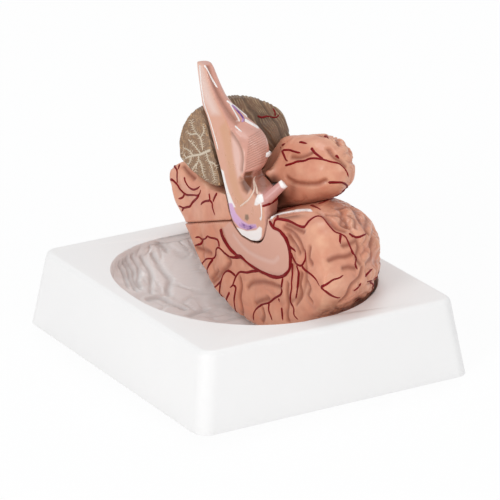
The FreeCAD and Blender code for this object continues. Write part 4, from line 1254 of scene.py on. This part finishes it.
def floor_material():
    """White floor: it keeps the object's shadow and shows as the white ground of the photograph."""
    material = bpy.data.materials.new("floor_white")
    material.use_nodes = True
    nodes, links = material.node_tree.nodes, material.node_tree.links
    shader = nodes["Principled BSDF"]
    shader.inputs["Base Color"].default_value = (0.92, 0.92, 0.92, 1)
    shader.inputs["Roughness"].default_value = 0.9
    shader.inputs["Specular IOR Level"].default_value = 0.0
    glow = nodes.new("ShaderNodeEmission")
    path = nodes.new("ShaderNodeLightPath")
    either = nodes.new("ShaderNodeMath")
    either.operation = "MAXIMUM"
    links.new(path.outputs["Is Camera Ray"], either.inputs[0])
    links.new(path.outputs["Is Glossy Ray"], either.inputs[1])
    share = nodes.new("ShaderNodeMath")
    share.operation = "MULTIPLY"
    share.inputs[1].default_value = 0.9
    links.new(either.outputs[0], share.inputs[0])
    blend = nodes.new("ShaderNodeMixShader")
    links.new(share.outputs[0], blend.inputs["Fac"])
    links.new(shader.outputs[0], blend.inputs[1])
    links.new(glow.outputs[0], blend.inputs[2])
    links.new(blend.outputs[0], nodes["Material Output"].inputs["Surface"])
    return material


FLOOR_HALF = 6.0
FLOOR_GAP = 0.0002
LAMP_AIM = (0, 0, 0.06)
KEY_PLACE = (-1.7, -0.9, 0.9)
FILL_PLACE = (0.6, -1.7, 0.7)
TOP_PLACE = (0.5, 0.7, 1.7)
SKY_COLOUR = (0.96, 0.985, 1, 1)


class BRAIN_OT_stage(bpy.types.Operator):
    """Floor, lamps and the camera at the photograph's place"""
    bl_idname = "brain.stage"
    bl_label = "Stage"

    def execute(self, context):
        scene = context.scene
        stage = scene.brain_stage
        mesh = bpy.data.meshes.new("floor")
        grid = bmesh.new()
        corners = [(-1, -1), (1, -1), (1, 1), (-1, 1)]
        grid.faces.new([grid.verts.new((a * FLOOR_HALF, b * FLOOR_HALF, -FLOOR_GAP)) for a, b in corners])
        grid.to_mesh(mesh)
        grid.free()
        floor = bpy.data.objects.new("floor", mesh)
        scene.collection.objects.link(floor)
        mesh.materials.append(floor_material())

        soft_lamp("key_lamp", KEY_PLACE, LAMP_AIM, 0.7, stage.key_power)
        soft_lamp("fill_lamp", FILL_PLACE, LAMP_AIM, 0.8, stage.fill_power)
        soft_lamp("top_lamp", TOP_PLACE, LAMP_AIM, 0.7, stage.top_power)

        world = bpy.data.worlds.new("surroundings")
        scene.world = world
        world.use_nodes = True
        sky = world.node_tree.nodes["Background"]
        sky.inputs["Color"].default_value = SKY_COLOUR
        sky.inputs["Strength"].default_value = stage.sky_strength

        data = bpy.data.cameras.new("photograph")
        data.lens = VIEW_LENS
        data.sensor_width = VIEW_SENSOR
        data.clip_start, data.clip_end = 0.05, 60
        camera = bpy.data.objects.new("photograph", data)
        scene.collection.objects.link(camera)
        camera.location = EYE
        camera.rotation_mode = "QUATERNION"
        camera.rotation_quaternion = (-BACK).to_track_quat("-Z", "Y")
        scene.camera = camera
        scene.view_settings.view_transform = "Standard"
        return {"FINISHED"}


PIECE_OPERATORS = (
    BRAIN_OT_tray_and_pegs,
    BRAIN_OT_frontal_parietal_lobe,
    BRAIN_OT_temporal_occipital_lobe,
    BRAIN_OT_brain_stem,
    BRAIN_OT_cerebellum,
    BRAIN_OT_stage,
)


class BRAIN_PT_sidebar(bpy.types.Panel):
    """Lists the pieces and their sizes and colours"""
    bl_idname = "BRAIN_PT_sidebar"
    bl_label = "Brain model"
    bl_space_type = "VIEW_3D"
    bl_region_type = "UI"
    bl_category = "Brain model"

    def draw(self, context):
        for operator in PIECE_OPERATORS:
            self.layout.operator(operator.bl_idname)
        for group in (context.scene.brain_sizes, context.scene.brain_colours, context.scene.brain_stage):
            box = self.layout.box()
            for name in group.__annotations__:
                box.prop(group, name)


CLASSES = (BrainSizes, BrainColours, StageSettings) + PIECE_OPERATORS + (BRAIN_PT_sidebar,)


def register():
    for item in CLASSES:
        bpy.utils.register_class(item)
    bpy.types.Scene.brain_sizes = PointerProperty(type=BrainSizes)
    bpy.types.Scene.brain_colours = PointerProperty(type=BrainColours)
    bpy.types.Scene.brain_stage = PointerProperty(type=StageSettings)


def unregister():
    del bpy.types.Scene.brain_sizes
    del bpy.types.Scene.brain_colours
    del bpy.types.Scene.brain_stage
    for item in reversed(CLASSES):
        bpy.utils.unregister_class(item)


def main():
    """Builds every piece in order."""
    register()
    bpy.ops.brain.tray_and_pegs()
    bpy.ops.brain.frontal_parietal_lobe()
    bpy.ops.brain.temporal_occipital_lobe()
    bpy.ops.brain.brain_stem()
    bpy.ops.brain.cerebellum()
    bpy.ops.brain.stage()


if __name__ == "__main__":
    main()
